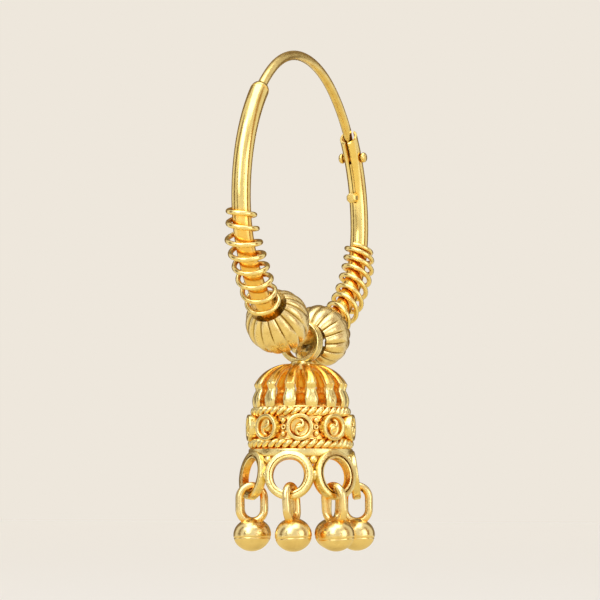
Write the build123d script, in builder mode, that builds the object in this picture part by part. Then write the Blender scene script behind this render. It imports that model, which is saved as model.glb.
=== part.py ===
"""Jhumka hoop earring in gold-plated brass, modelled in millimetres.

A hinged ear wire closes a tube hoop. Two loose wire coils and two fluted beads are threaded
on the tube, and between the beads hangs an openwork bell with seven bead drops.
The origin is the underside of the ear wire's highest point, where the ear lobe carries it.
X runs across the hoop towards its hinge, Y along the hoop's axis, Z up.
"""

import os
from math import cos, radians, sin

from build123d import *

os.makedirs("parts", exist_ok=True)

# --- Hoop: a closed oval of tangent arcs, two to a quarter -------------------------------
hoop_height = 26.58            # centreline, lowest to highest point
hoop_reach_hinge = 14.05       # lowest point to the hinge side's furthest point, along X
hoop_reach_socket = 12.84      # the same on the socket side
hoop_rise_hinge = 11.27        # lowest point up to that furthest point
hoop_rise_socket = 11.98
hoop_top_shift = 0.20          # highest point, towards the hinge from the lowest
lower_break = 35.0             # turn at which a lower quarter changes radius
upper_break = 55.0             # the same for an upper quarter
tube_radius = 0.88
tube_bore = 0.63
ear_wire_radius = 0.45

# --- Clasp: places on the hoop are turns in degrees from its lowest point, + to the hinge ---
socket_turn = -131.2           # where the tube starts to close round the ear wire
socket_length = 0.62
socket_hole = 0.55
socket_lip = 0.66
tip_length = 0.50
tip_end_radius = 0.14
mouth_turn = 125.0
mouth_slope = 22.0             # the inner lip is cut lower by this angle
pin_turn = 115.75
pin_radius = 0.20
pin_clearance = 0.04
pin_half_length = 1.45
head_radius = 0.50
head_thickness = 0.46
head_rounding = 0.20
eye_radius = 0.54
eye_thickness = 0.46
tang_flat = 1.8                # from the pin to where the tang starts to widen
tang_length = 3.6              # from the pin to where the ear wire is round again
knob_turn = 101.8
knob_size = 0.94
knob_gap = 0.05
tail_thickness = 0.20
tail_inner = 0.86              # the tail's two edges, inwards from the tube's centreline
tail_outer = 0.42
slit_width = 0.30
slit_end_turn = 99.6
notch_half_width = 0.38

# --- Coils: place, size and shift of a winding's centre at each full winding ---------------
coil_wire_radius = 0.225
coil_steps = 14                # straight stretches in one winding
coil_sides = 6
front_start_angle = 120.0      # where a coil starts round the tube, 0 on the hoop's outside
back_start_angle = 180.0
front_lean = 0.0               # how far on along the hoop a winding's +Y side lies, in degrees
back_lean = 1.85
FRONT_COIL = (
    # hoop_turn, radius, sag away from the hoop's centre, shift along Y
    (-84.1, 1.21, 0.03, 0.00),
    (-79.5, 1.24, 0.05, 0.00),
    (-72.1, 1.48, 0.22, 0.00),
    (-66.0, 1.50, 0.22, -0.10),
    (-60.0, 1.50, 0.20, -0.19),
    (-53.6, 1.50, 0.18, -0.20),
    (-46.7, 1.50, 0.18, -0.20),
    (-39.5, 1.48, 0.18, -0.10),
    (-34.0, 1.46, 0.18, -0.05),
)
BACK_COIL = (
    # hoop_turn, radius, sag away from the hoop's centre, shift along Y
    (26.6, 1.38, 0.16, 0.00),
    (31.2, 1.42, 0.20, 0.00),
    (39.8, 1.42, 0.22, 0.00),
    (48.5, 1.42, 0.22, 0.00),
    (57.2, 1.42, 0.22, 0.00),
    (64.1, 1.42, 0.18, -0.08),
    (70.0, 1.40, 0.12, -0.15),
    (76.0, 1.30, 0.05, -0.08),
    (79.8, 1.20, 0.03, 0.00),
)

# --- Fluted beads ------------------------------------------------------------------------
bead_radius = 3.0
bead_wall = 0.50
bead_mouth = 1.80
bead_flutes = 16
flute_radius = 0.34
flute_depth = 0.20
BEADS = (
    # name, hoop_turn, sag, turn that its axis lies along
    ("bead_front", -21.5, -0.05, -33.0),
    ("bead_back", 14.4, 0.42, 14.4),
)

# --- Bell: heights are below the hoop's lowest centreline point ---------------------------
bell_shift = 0.10              # bell axis along X, from the hoop's lowest point
bail_shift = 0.15              # bail ring along X, from the same point
bail_radius = 2.05
bail_hole = 1.62
bail_width = 1.25
bail_gap = 0.12                # between the bail and the top of the tube
foot_radius = 0.95
foot_gap = 0.11                # from the foot up to the bail's hole
crown_drop = 2.72
crown_flat = 1.2
shoulder_radius = 4.43
shoulder_drop = 4.66
waist_radius = 4.26
waist_drop = 5.25
wall = 0.55
band_bore = 3.80
band_recess_radius = 4.20      # the band between the two ropes, at its top
band_recess_flare = 0.15
upper_rope_radius = 4.50       # the band that a rope's lobes stand on
lower_rope_radius = 4.76
upper_rope_drop = 7.27
lower_rope_drop = 10.28
rope_height = 0.92
rope_relief = 0.24
rope_lobes = 38
lobe_width = 0.46
lobe_slant = 38.0
lobe_length = lobe_width + (rope_height - lobe_width) / cos(radians(lobe_slant))
bar_radius = 4.92
bar_drop = 11.10
bar_height = 0.78
rib_count = 13
rib_first = 190.6
window_inner_radius = 1.55
window_half_inner = 0.12
window_half_outer = 0.50
cup_count = 9
cup_first = 203.5
cup_drop = 8.77
cup_radius = 1.26
cup_bore = 1.00
cup_reach = 5.08
cup_floor = 4.58
cup_ball = 0.52
granule_radius = 0.30
granule_reach = 4.42
granule_rise = 0.60
eyelet_count = 7
eyelet_first = 192.7
eyelet_radius = 2.30
eyelet_hole = 1.60
eyelet_thickness = 0.76
eyelet_reach = 4.98
eyelet_drop = 13.22
eyelet_flare = 8.0
eyelet_rounding = 0.20
pillar_reach = 5.30
pillar_radius = 0.34
pillar_height = 1.2
gap_granule_radius = 0.38

# --- Drops: an oval wire loop set in a flattened bead -------------------------------------
loop_wire_radius = 0.37
loop_bend_radius = 1.15
loop_straight = 1.03
loop_gap = 0.22
drop_bead_radius = 1.71
drop_bead_half_height = 1.52
drop_bead_sink = 0.30
drop_offset = -0.04
DROPS = (
    # twist about its own upright line, place along the eyelet, lean along the eyelet
    (-12.0, 0.20, 4.0),
    (6.0, -0.35, 5.0),
    (0.0, 0.0, 0.0),
    (10.0, 0.10, 2.0),
    (-8.0, -0.35, -3.0),
    (12.0, -0.45, -4.0),
    (-22.0, 0.30, 3.0),
)

wire_top = ear_wire_radius
hoop_bottom_x = -hoop_top_shift
hoop_bottom_z = wire_top - hoop_height
bell_x = hoop_bottom_x + bell_shift


def quarter_radii(along, across, first_turn):
    """Radii of two tangent arcs that turn a quarter, going `along` and then `across`."""
    s, c = sin(radians(first_turn)), cos(radians(first_turn))
    second = (across - along * (1 - c) / s) / (c - (1 - s) * (1 - c) / s)
    return (along - second * (1 - s)) / s, second


def side_arcs(side, reach, rise, top_reach):
    """One side's arcs as (first turn, last turn, radius, centre x, centre z), from the bottom up."""
    lower = quarter_radii(reach, rise, lower_break)
    upper = quarter_radii(hoop_height - rise, top_reach, upper_break)
    turns = (0.0, lower_break, 90.0, 90.0 + upper_break, 180.0)
    arcs = []
    x, z = 0.0, 0.0
    for first, last, radius in zip(turns, turns[1:], lower + upper):
        cx = x - radius * sin(radians(first))
        cz = z + radius * cos(radians(first))
        x = cx + radius * sin(radians(last))
        z = cz - radius * cos(radians(last))
        arcs.append((side * first, side * last, radius, hoop_bottom_x + side * cx, hoop_bottom_z + cz))
    return arcs


HINGE_SIDE = side_arcs(1, hoop_reach_hinge, hoop_rise_hinge, hoop_reach_hinge - hoop_top_shift)
SOCKET_SIDE = side_arcs(-1, hoop_reach_socket, hoop_rise_socket, hoop_reach_socket + hoop_top_shift)


def arc_at(turn):
    """The hoop arc that holds a turn."""
    arcs = HINGE_SIDE if turn >= 0 else SOCKET_SIDE
    for arc in arcs:
        if abs(turn) <= abs(arc[1]):
            return arc
    return arcs[-1]


def hoop_point(turn, outwards=0.0, sideways=0.0):
    """Point on the hoop's centreline, moved outwards in its plane and sideways along Y."""
    _, _, radius, cx, cz = arc_at(turn)
    reach = radius + outwards
    return Vector(cx + reach * sin(radians(turn)), sideways, cz - reach * cos(radians(turn)))


def outward(turn):
    return Vector(sin(radians(turn)), 0, -cos(radians(turn)))


def forward(turn):
    """Direction of the hoop's centreline, as the turn grows."""
    return Vector(cos(radians(turn)), 0, sin(radians(turn)))


def across_plane(turn):
    """Cross-section plane of the hoop: x outwards, y along +Y, normal forwards."""
    return Plane(hoop_point(turn), x_dir=outward(turn), z_dir=forward(turn))


def lengthwise_plane(turn):
    """Plane of the hoop itself at a turn: x outwards, y backwards along the centreline."""
    return Plane(hoop_point(turn), x_dir=outward(turn), z_dir=(0, 1, 0))


def hoop_arcs(first, last):
    """Adds the hoop's centreline between two turns of one side to the line being built."""
    for start, end, radius, cx, cz in HINGE_SIDE + SOCKET_SIDE:
        low, high = min(start, end), max(start, end)
        a, b = max(low, first), min(high, last)
        if b - a > 1e-6:
            CenterArc((cx, cz), radius, a - 90, b - a)


def hoop_sector(first, last, inner, outer):
    """Outline of a strip along the hoop between two turns and two offsets from its centreline."""
    _, _, radius, cx, cz = arc_at(0.5 * (first + last))
    inside = CenterArc((cx, cz), radius + inner, first - 90, last - first)
    outside = CenterArc((cx, cz), radius + outer, first - 90, last - first)
    Line(inside @ 0, outside @ 0)
    Line(inside @ 1, outside @ 1)


def bell_point(reach, angle, drop):
    """Point round the bell's axis: distance, angle in degrees and drop below the hoop."""
    a = radians(angle)
    return Vector(bell_x + reach * cos(a), reach * sin(a), hoop_bottom_z - drop)


def bell_direction(angle, tilt=0.0):
    a, t = radians(angle), radians(tilt)
    return Vector(cos(a) * cos(t), sin(a) * cos(t), sin(t))


def bell_plane(reach, angle, drop, tilt=0.0):
    """Plane that faces away from the bell's axis: x round the bell, y up."""
    tangent = Vector(-sin(radians(angle)), cos(radians(angle)), 0)
    return Plane(bell_point(reach, angle, drop), x_dir=tangent, z_dir=bell_direction(angle, tilt))


def planes_round(count, first, reach, drop):
    """The same plane repeated evenly round the bell."""
    return [bell_plane(reach, first + i * 360 / count, drop) for i in range(count)]


# --- hoop_tube ----------------------------------------------------------------------------
with BuildPart() as hoop_tube:
    with BuildLine(Plane.XZ) as tube_path:
        hoop_arcs(socket_turn, mouth_turn)
    with BuildSketch(across_plane(socket_turn)):
        Circle(tube_radius)
        Circle(tube_bore, mode=Mode.SUBTRACT)
    sweep(path=tube_path.wires()[0])
    # domed socket that closes in on the ear wire
    with BuildSketch(lengthwise_plane(socket_turn)):
        with BuildLine():
            foot = Line((socket_hole, 0), (tube_radius, 0))
            dome = TangentArc(foot @ 1, (socket_lip, socket_length), tangent=(0, 1))
            rim = Line(dome @ 1, (socket_hole, socket_length))
            Line(rim @ 1, foot @ 0)
        make_face()
    revolve(axis=Axis(hoop_point(socket_turn), forward(socket_turn)))
    # oblique mouth at the hinge
    with BuildSketch(lengthwise_plane(mouth_turn)):
        with BuildLine():
            Polyline(
                (-tube_radius - 0.1, -0.1),
                (tube_radius + 0.1, -0.1),
                (tube_radius, 0),
                (-tube_radius - 0.1, (2 * tube_radius + 0.1) * sin(radians(mouth_slope))),
                close=True,
            )
        make_face()
    extrude(amount=tube_radius + 0.1, both=True, mode=Mode.SUBTRACT)
    # slit in the inner wall for the ear wire's tail
    with BuildSketch(Plane.XZ):
        with BuildLine():
            hoop_sector(slit_end_turn, mouth_turn + 1, -tube_radius - 0.2, 0)
        make_face()
    extrude(amount=slit_width / 2, both=True, mode=Mode.SUBTRACT)
    # notch in the outer wall that the ear wire swings out through
    with BuildSketch(Plane.XZ):
        with BuildLine():
            hoop_sector(pin_turn - 1.2, mouth_turn + 1, 0, tube_radius + 0.2)
        make_face()
    extrude(amount=notch_half_width, both=True, mode=Mode.SUBTRACT)
    # hole for the hinge pin
    with BuildSketch(Plane(hoop_point(pin_turn), x_dir=outward(pin_turn), z_dir=(0, 1, 0))):
        Circle(pin_radius + pin_clearance)
    extrude(amount=tube_radius + 0.1, both=True, mode=Mode.SUBTRACT)
hoop_tube.part.label = "hoop_tube"
export_step(hoop_tube.part, "parts/hoop_tube.step")

# --- ear_wire -----------------------------------------------------------------------------
tip_turn = socket_turn - 2.4
with BuildPart() as ear_wire:
    with BuildLine(Plane.XZ) as wire_path:
        hoop_arcs(pin_turn, 180)
        hoop_arcs(-180, tip_turn)
    with BuildSketch(across_plane(pin_turn)):
        Circle(ear_wire_radius)
    sweep(path=wire_path.wires()[0])
    # tapered tip in the socket
    with BuildSketch(lengthwise_plane(tip_turn)):
        with BuildLine():
            Polyline(
                (0, 0), (ear_wire_radius, 0), (tip_end_radius, -tip_length), (0, -tip_length), close=True
            )
        make_face()
    revolve(axis=Axis(hoop_point(tip_turn), forward(tip_turn)))
    # flats that thin the wire to a tang at the hinge
    tang_plane = Plane(hoop_point(pin_turn), x_dir=(0, 1, 0), z_dir=outward(pin_turn))
    for side in (-1, 1):
        with BuildSketch(tang_plane):
            with BuildLine():
                Polyline(
                    (side * eye_thickness / 2, -0.8),
                    (side * eye_thickness / 2, tang_flat),
                    (side * ear_wire_radius, tang_length),
                    (side * (ear_wire_radius + 0.2), tang_length),
                    (side * (ear_wire_radius + 0.2), -0.8),
                    close=True,
                )
            make_face()
        extrude(amount=1.0, both=True, mode=Mode.SUBTRACT)
    # eye round the hinge pin
    with BuildSketch(Plane(hoop_point(pin_turn), x_dir=outward(pin_turn), z_dir=(0, 1, 0))):
        Circle(eye_radius)
    extrude(amount=eye_thickness / 2, both=True)
    # tail along the slit, and its stop knob against the tube's inner side
    with BuildSketch(Plane.XZ):
        with BuildLine():
            hoop_sector(knob_turn - 0.8, pin_turn, -tail_inner, -tail_outer)
        make_face()
        with BuildLine():
            hoop_sector(knob_turn - 0.8, knob_turn + 0.8, -tube_radius - 0.5, -tail_outer)
        make_face()
    extrude(amount=tail_thickness / 2, both=True)
    knob_centre = hoop_point(knob_turn, -tube_radius - knob_gap - knob_size / 2)
    with BuildSketch(Plane(knob_centre, x_dir=forward(knob_turn), z_dir=outward(knob_turn))):
        Rectangle(knob_size, knob_size)
        chamfer(vertices(), knob_size * 0.28)
    extrude(amount=knob_size / 2, both=True)
    # hole for the hinge pin
    with BuildSketch(Plane(hoop_point(pin_turn), x_dir=outward(pin_turn), z_dir=(0, 1, 0))):
        Circle(pin_radius + pin_clearance)
    extrude(amount=eye_thickness, both=True, mode=Mode.SUBTRACT)
ear_wire.part.label = "ear_wire"
export_step(ear_wire.part, "parts/ear_wire.step")

# --- hinge_pin ----------------------------------------------------------------------------
with BuildPart() as hinge_pin:
    with BuildSketch(Plane(hoop_point(pin_turn), x_dir=outward(pin_turn), z_dir=(0, 1, 0))):
        Circle(pin_radius)
    extrude(amount=pin_half_length, both=True)
    for side in (-1, 1):
        head_foot = hoop_point(pin_turn, sideways=side * (pin_half_length - head_thickness))
        with BuildSketch(Plane(head_foot, x_dir=outward(pin_turn), z_dir=(0, side, 0))):
            Circle(head_radius)
        extrude(amount=head_thickness)
    for end in (0, -1):
        fillet(hinge_pin.edges().group_by(Axis.Y)[end], head_rounding)
hinge_pin.part.label = "hinge_pin"
export_step(hinge_pin.part, "parts/hinge_pin.step")

# --- coils --------------------------------------------------------------------------------
def coil_path(rows, start_angle, lean):
    """Points of a coil's centreline, each with its direction away from the tube."""
    last_winding = len(rows) - 2
    path = []
    for step in range((len(rows) - 1) * coil_steps + 1):
        winding = min(step // coil_steps, last_winding)
        share = step / coil_steps - winding
        ends = zip(rows[winding], rows[winding + 1])
        turn, radius, sag, shift = (a + (b - a) * share for a, b in ends)
        angle = radians(start_angle - 360 * step / coil_steps)
        turn += lean * sin(angle)
        away = outward(turn) * cos(angle) + Vector(0, 1, 0) * sin(angle)
        path.append((hoop_point(turn, sag, shift) + away * radius, away))
    return path


def coil_rings(path):
    """The wire's polygon section at each point of a coil's centreline."""
    rings = []
    for i, (centre, away) in enumerate(path):
        along = (path[min(i + 1, len(path) - 1)][0] - path[max(i - 1, 0)][0]).normalized()
        across = along.cross(away).normalized()
        square_away = across.cross(along)
        ring = []
        for corner in range(coil_sides):
            a = radians(360 * corner / coil_sides)
            ring.append(centre + (square_away * cos(a) + across * sin(a)) * coil_wire_radius)
        rings.append(ring)
    return rings


def flat_face(*corners):
    return Face(Wire.make_polygon(corners, close=True))


def coil_solid(rows, start_angle, lean):
    """Closed tube of flat faces, with a flat end at each side."""
    rings = coil_rings(coil_path(rows, start_angle, lean))
    faces = [flat_face(*rings[0]), flat_face(*rings[-1])]
    for ring, following in zip(rings, rings[1:]):
        for corner in range(coil_sides):
            neighbour = (corner + 1) % coil_sides
            faces.append(flat_face(ring[corner], ring[neighbour], following[neighbour]))
            faces.append(flat_face(ring[corner], following[neighbour], following[corner]))
    return Solid(Shell(faces))


for name, rows, start_angle, lean in (
    ("coil_front", FRONT_COIL, front_start_angle, front_lean),
    ("coil_back", BACK_COIL, back_start_angle, back_lean),
):
    wire_tube = coil_solid(rows, start_angle, lean)
    with BuildPart() as coil:
        add(wire_tube)
    coil.part.label = name
    export_step(coil.part, f"parts/{name}.step")

# --- fluted beads -------------------------------------------------------------------------
for name, turn, sag, axis_turn in BEADS:
    centre = hoop_point(turn, sag)
    with BuildPart() as bead:
        with BuildSketch(Plane(centre, x_dir=outward(axis_turn), z_dir=(0, 1, 0))):
            with BuildLine():
                outer_end = (bead_radius**2 - bead_mouth**2) ** 0.5
                inner_radius = bead_radius - bead_wall
                inner_end = (inner_radius**2 - bead_mouth**2) ** 0.5
                outside = ThreePointArc(
                    (bead_mouth, -outer_end), (bead_radius, 0), (bead_mouth, outer_end)
                )
                inside = ThreePointArc(
                    (bead_mouth, -inner_end), (inner_radius, 0), (bead_mouth, inner_end)
                )
                Line(outside @ 0, inside @ 0)
                Line(outside @ 1, inside @ 1)
            make_face()
        revolve(axis=Axis(centre, forward(axis_turn)))
        for pair in range(bead_flutes // 2):
            a = radians(360 * (pair + 0.5) / bead_flutes)
            flute_normal = outward(axis_turn) * cos(a) + Vector(0, 1, 0) * sin(a)
            with Locations(Plane(centre, x_dir=forward(axis_turn), z_dir=flute_normal)):
                Torus(bead_radius + flute_radius - flute_depth, flute_radius, mode=Mode.SUBTRACT)
    bead.part.label = name
    export_step(bead.part, f"parts/{name}.step")

# --- jhumka_bell --------------------------------------------------------------------------
profile_plane = Plane((bell_x, 0, hoop_bottom_z), x_dir=(1, 0, 0), z_dir=(0, -1, 0))
lower_rope_top = lower_rope_drop - rope_height / 2
upper_rope_top = upper_rope_drop - rope_height / 2
upper_rope_bottom = upper_rope_drop + rope_height / 2
bar_top = bar_drop - bar_height / 2
bar_bottom = bar_drop + bar_height / 2
bail_drop = bail_hole - bail_gap - tube_radius
bail_centre = Vector(hoop_bottom_x + bail_shift, 0, hoop_bottom_z - bail_drop)
ring_mean = (eyelet_radius + eyelet_hole) / 2

with BuildPart() as jhumka_bell:
    # hollow dome, band and rim bar, open below
    with BuildSketch(profile_plane):
        with BuildLine():
            crown = Line((0, -crown_drop), (crown_flat, -crown_drop))
            dome = TangentArc(crown @ 1, (shoulder_radius, -shoulder_drop), tangent=(1, 0))
            skirt = Polyline(
                dome @ 1,
                (waist_radius, -waist_drop),
                (upper_rope_radius, -upper_rope_top),
                (upper_rope_radius, -upper_rope_bottom),
                (band_recess_radius, -upper_rope_bottom),
                (band_recess_radius + band_recess_flare, -lower_rope_top),
                (lower_rope_radius, -lower_rope_top),
                (lower_rope_radius, -bar_top),
                (bar_radius, -bar_top),
                (bar_radius, -bar_bottom),
                (band_bore, -bar_bottom),
                (band_bore, -upper_rope_bottom),
                (waist_radius - wall, -waist_drop),
            )
            inner_crown = Line((0, -crown_drop - wall), (crown_flat, -crown_drop - wall))
            TangentArc(inner_crown @ 1, skirt @ 1, tangent=(1, 0))
            Line(crown @ 0, inner_crown @ 0)
        make_face()
    revolve(axis=Axis((bell_x, 0, 0), (0, 0, 1)))
    # windows between the ribs
    with BuildSketch(Plane((bell_x, 0, hoop_bottom_z - upper_rope_top))):
        with PolarLocations(0, rib_count, start_angle=rib_first + 180 / rib_count):
            Polygon(
                (window_inner_radius, -window_half_inner),
                (bar_radius, -window_half_outer),
                (bar_radius, window_half_outer),
                (window_inner_radius, window_half_inner),
                align=None,
            )
    extrude(amount=upper_rope_top, mode=Mode.SUBTRACT)
    # slanting lobes of the two ropes
    for rope_radius, rope_drop in (
        (upper_rope_radius, upper_rope_drop),
        (lower_rope_radius, lower_rope_drop),
    ):
        with BuildSketch(*planes_round(rope_lobes, 0, rope_radius - wall / 2, rope_drop)):
            SlotOverall(lobe_length, lobe_width, rotation=90 - lobe_slant)
        extrude(amount=wall / 2 + rope_relief)
    # round cups with a ball in each, and two granules between neighbours
    cup_foot = (band_bore + band_recess_radius) / 2
    with BuildSketch(*planes_round(cup_count, cup_first, cup_foot, cup_drop)):
        Circle(cup_radius)
    extrude(amount=cup_reach - cup_foot)
    with BuildSketch(*planes_round(cup_count, cup_first, cup_floor, cup_drop)):
        Circle(cup_bore)
    extrude(amount=cup_reach, mode=Mode.SUBTRACT)
    with Locations(*planes_round(cup_count, cup_first, cup_reach - cup_ball, cup_drop)):
        Sphere(cup_ball)
    for rise in (-granule_rise, granule_rise):
        first_gap = cup_first + 180 / cup_count
        with Locations(*planes_round(cup_count, first_gap, granule_reach, cup_drop + rise)):
            Sphere(granule_radius)
    # ring eyelets under the rim
    for eyelet in range(eyelet_count):
        angle = eyelet_first + eyelet * 360 / eyelet_count
        facing = bell_plane(eyelet_reach, angle, eyelet_drop, eyelet_flare)
        with BuildSketch(Plane(facing.origin, x_dir=facing.x_dir, z_dir=facing.y_dir)):
            with Locations(((eyelet_radius + eyelet_hole) / 2, 0)):
                RectangleRounded(eyelet_radius - eyelet_hole, eyelet_thickness, eyelet_rounding)
        revolve(axis=Axis(facing.origin, facing.z_dir))
    # a pillar and a granule between each two eyelets
    first_corner = eyelet_first + 180 / eyelet_count
    with Locations(*planes_round(eyelet_count, first_corner, pillar_reach, eyelet_drop)):
        Cylinder(pillar_radius, pillar_height, rotation=(90, 0, 0))
    gap_granule_drop = bar_bottom + gap_granule_radius * 0.8
    with Locations(*planes_round(eyelet_count, first_corner, bar_radius, gap_granule_drop)):
        Sphere(gap_granule_radius)
    # bail ring on a solder foot, hung on the hoop
    with BuildSketch(Plane((bell_x, 0, hoop_bottom_z - crown_drop - wall / 2))):
        Circle(foot_radius)
    extrude(amount=crown_drop + wall / 2 - bail_drop - bail_hole - foot_gap)
    with BuildSketch(Plane(bail_centre, z_dir=(1, 0, 0))):
        Circle(bail_radius)
        Circle(bail_hole, mode=Mode.SUBTRACT)
    extrude(amount=bail_width / 2, both=True)
jhumka_bell.part.label = "jhumka_bell"
export_step(jhumka_bell.part, "parts/jhumka_bell.step")

# --- drops --------------------------------------------------------------------------------
loop_reach = eyelet_reach + eyelet_radius * sin(radians(eyelet_flare)) + drop_offset
section_top = eyelet_drop + eyelet_hole * cos(radians(eyelet_flare))
loop_top = section_top - loop_gap - loop_wire_radius
bead_distance = loop_bend_radius + loop_straight + drop_bead_half_height - drop_bead_sink
cap_radius, side_radius = quarter_radii(drop_bead_radius, drop_bead_half_height, 45)
for number, (twist, along, lean) in enumerate(DROPS, start=1):
    angle = eyelet_first + (number - 1) * 360 / eyelet_count
    facing = bell_direction(angle + twist)
    sideways = bell_direction(angle + twist - 90, -lean)
    upward = sideways.cross(facing)
    hung_at = bell_point(loop_reach, angle, loop_top + loop_bend_radius)
    bend_centre = hung_at + bell_direction(angle + 90) * along
    bead_centre = bend_centre - upward * bead_distance
    with BuildPart() as drop:
        with BuildLine(Plane(bend_centre, x_dir=facing, z_dir=sideways)) as loop_path:
            Line((loop_bend_radius, 0), (loop_bend_radius, -loop_straight))
            CenterArc((0, -loop_straight), loop_bend_radius, 180, 180)
            Line((-loop_bend_radius, -loop_straight), (-loop_bend_radius, 0))
            CenterArc((0, 0), loop_bend_radius, 0, 180)
        wire_start = Plane(bend_centre + facing * loop_bend_radius, x_dir=facing, z_dir=upward)
        with BuildSketch(wire_start):
            Circle(loop_wire_radius)
        sweep(path=loop_path.wires()[0])
        with BuildSketch(Plane(bead_centre, x_dir=facing, z_dir=sideways)):
            with BuildLine():
                CenterArc((0, cap_radius - drop_bead_half_height), cap_radius, -90, 45)
                CenterArc((drop_bead_radius - side_radius, 0), side_radius, -45, 90)
                CenterArc((0, drop_bead_half_height - cap_radius), cap_radius, 45, 45)
                Line((0, drop_bead_half_height), (0, -drop_bead_half_height))
            make_face()
        revolve(axis=Axis(bead_centre, upward))
    drop.part.label = f"drop_{number}"
    export_step(drop.part, f"parts/drop_{number}.step")
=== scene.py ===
"""Dresses the jhumka hoop earring: every gilt surface, its finishes and a plain studio stage.

The measured frame gives the bodies and joints. Shapes are worked out in millimetres and
become metres when a mesh is made. A turn is an angle on the hoop in degrees from its lowest
point, growing towards the hinge; a drop is a distance below the hoop's lowest point.
"""

from math import cos, degrees, pi, radians, sin, sqrt, tau
from types import SimpleNamespace

import bmesh
import bpy
from mathutils import Matrix, Vector


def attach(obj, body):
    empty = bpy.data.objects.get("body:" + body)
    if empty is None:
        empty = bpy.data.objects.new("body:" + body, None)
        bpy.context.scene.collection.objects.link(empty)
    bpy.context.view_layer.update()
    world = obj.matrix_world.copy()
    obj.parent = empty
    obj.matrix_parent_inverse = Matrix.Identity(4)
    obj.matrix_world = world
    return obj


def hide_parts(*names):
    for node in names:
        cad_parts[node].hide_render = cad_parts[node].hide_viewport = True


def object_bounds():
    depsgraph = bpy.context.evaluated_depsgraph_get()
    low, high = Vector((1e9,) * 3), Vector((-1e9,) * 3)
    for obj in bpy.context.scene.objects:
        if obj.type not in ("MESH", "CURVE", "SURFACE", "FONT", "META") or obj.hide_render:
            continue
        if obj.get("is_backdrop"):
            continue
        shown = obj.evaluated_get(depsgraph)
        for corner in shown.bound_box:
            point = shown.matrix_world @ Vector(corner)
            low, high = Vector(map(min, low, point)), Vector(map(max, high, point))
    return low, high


bl_info = {
    "name": "Jhumka hoop earring",
    "version": (1, 0, 0),
    "blender": (4, 5, 0),
    "location": "View3D > Sidebar > Jhumka",
    "description": "Builds the gilt surfaces of a jhumka hoop earring round its frame",
    "category": "Add Mesh",
}

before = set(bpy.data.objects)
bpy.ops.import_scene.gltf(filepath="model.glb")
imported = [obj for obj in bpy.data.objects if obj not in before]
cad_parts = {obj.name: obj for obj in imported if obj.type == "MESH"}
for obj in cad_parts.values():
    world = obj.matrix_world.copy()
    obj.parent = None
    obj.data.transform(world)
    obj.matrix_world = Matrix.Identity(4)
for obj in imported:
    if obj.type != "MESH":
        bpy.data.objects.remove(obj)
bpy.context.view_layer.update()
MM = 0.001
FORE = Vector((1, 0, 0))
SIDE = Vector((0, 1, 0))
UP = Vector((0, 0, 1))
TUBE_OUTSIDE = 0.88


# ---------------------------------------------------------------- settings that a user changes
def length(name, description, millimetres):
    return bpy.props.FloatProperty(
        name=name, description=description, default=millimetres * MM, unit="LENGTH", precision=5
    )


def angle(name, description, turn):
    return bpy.props.FloatProperty(
        name=name, description=description, default=radians(turn), subtype="ANGLE"
    )


def number(name, description, count):
    return bpy.props.IntProperty(name=name, description=description, default=count, min=1)


def share(name, description, value):
    return bpy.props.FloatProperty(
        name=name, description=description, default=value, min=0, max=1, subtype="FACTOR"
    )


def colour(name, description, red, green, blue):
    return bpy.props.FloatVectorProperty(
        name=name, description=description, default=(red, green, blue), subtype="COLOR",
        size=3, min=0, max=1,
    )


class HoopSizes(bpy.types.PropertyGroup):
    """Sizes of the hoop, its ear wire and its clasp."""

    tube_radius: length("Tube radius", "Outside of the hoop's tube", TUBE_OUTSIDE)
    tube_bore: length("Tube bore", "Inside of the hoop's tube", 0.63)
    wire_radius: length("Ear wire radius", "Round part of the ear wire", 0.45)
    pin_radius: length("Pin radius", "Shaft of the hinge pin", 0.20)
    knob_size: length("Knob size", "Width of the stop knob on the wire's tail", 0.94)


class CoilSizes(bpy.types.PropertyGroup):
    """Sizes of the two loose coils."""

    wire_radius: length("Wire radius", "Wire that the coils are wound from", 0.235)
    wobble: length("Wobble", "How far a winding strays from its true place", 0.02)
    sides: number("Sides", "Faces round the wire", 14)
    steps: number("Steps", "Points in one winding", 40)


class BeadSizes(bpy.types.PropertyGroup):
    """Sizes of the two fluted beads."""

    radius: length("Radius", "Outside of a bead", 3.0)
    wall: length("Wall", "Thickness of the hollow bead", 0.50)
    mouth: length("Mouth radius", "Hole that the hoop passes through", 1.80)
    flute_depth: length("Flute depth", "How deep a groove is cut", 0.22)
    flutes: number("Flutes", "Grooves round the bead", 16)


class BellSizes(bpy.types.PropertyGroup):
    """Sizes and counts of the bell."""

    ribs: number("Ribs", "Ribs over the dome", 13)
    cups: number("Cups", "Round cups on the band", 9)
    eyelets: number("Eyelets", "Rings under the rim, each with a drop", 7)
    lobes: number("Rope lobes", "Slanting lobes round each rope", 38)
    rope_strand: length("Rope strand", "Radius of one strand of the ropes", 0.24)
    unevenness: share("Unevenness", "How much hand-made repeats differ", 0.05)


class DropSizes(bpy.types.PropertyGroup):
    """Sizes of the seven drops."""

    wire_radius: length("Loop wire radius", "Wire of a drop's loop", 0.37)
    bend_radius: length("Loop bend radius", "Half width of the loop's centreline", 1.15)
    straight: length("Loop straight", "Straight sides between the loop's two bends", 1.03)
    bead_radius: length("Bead radius", "Half width of the drop's bead", 1.71)
    bead_half_height: length("Bead half height", "Half height of the drop's bead", 1.52)


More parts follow.
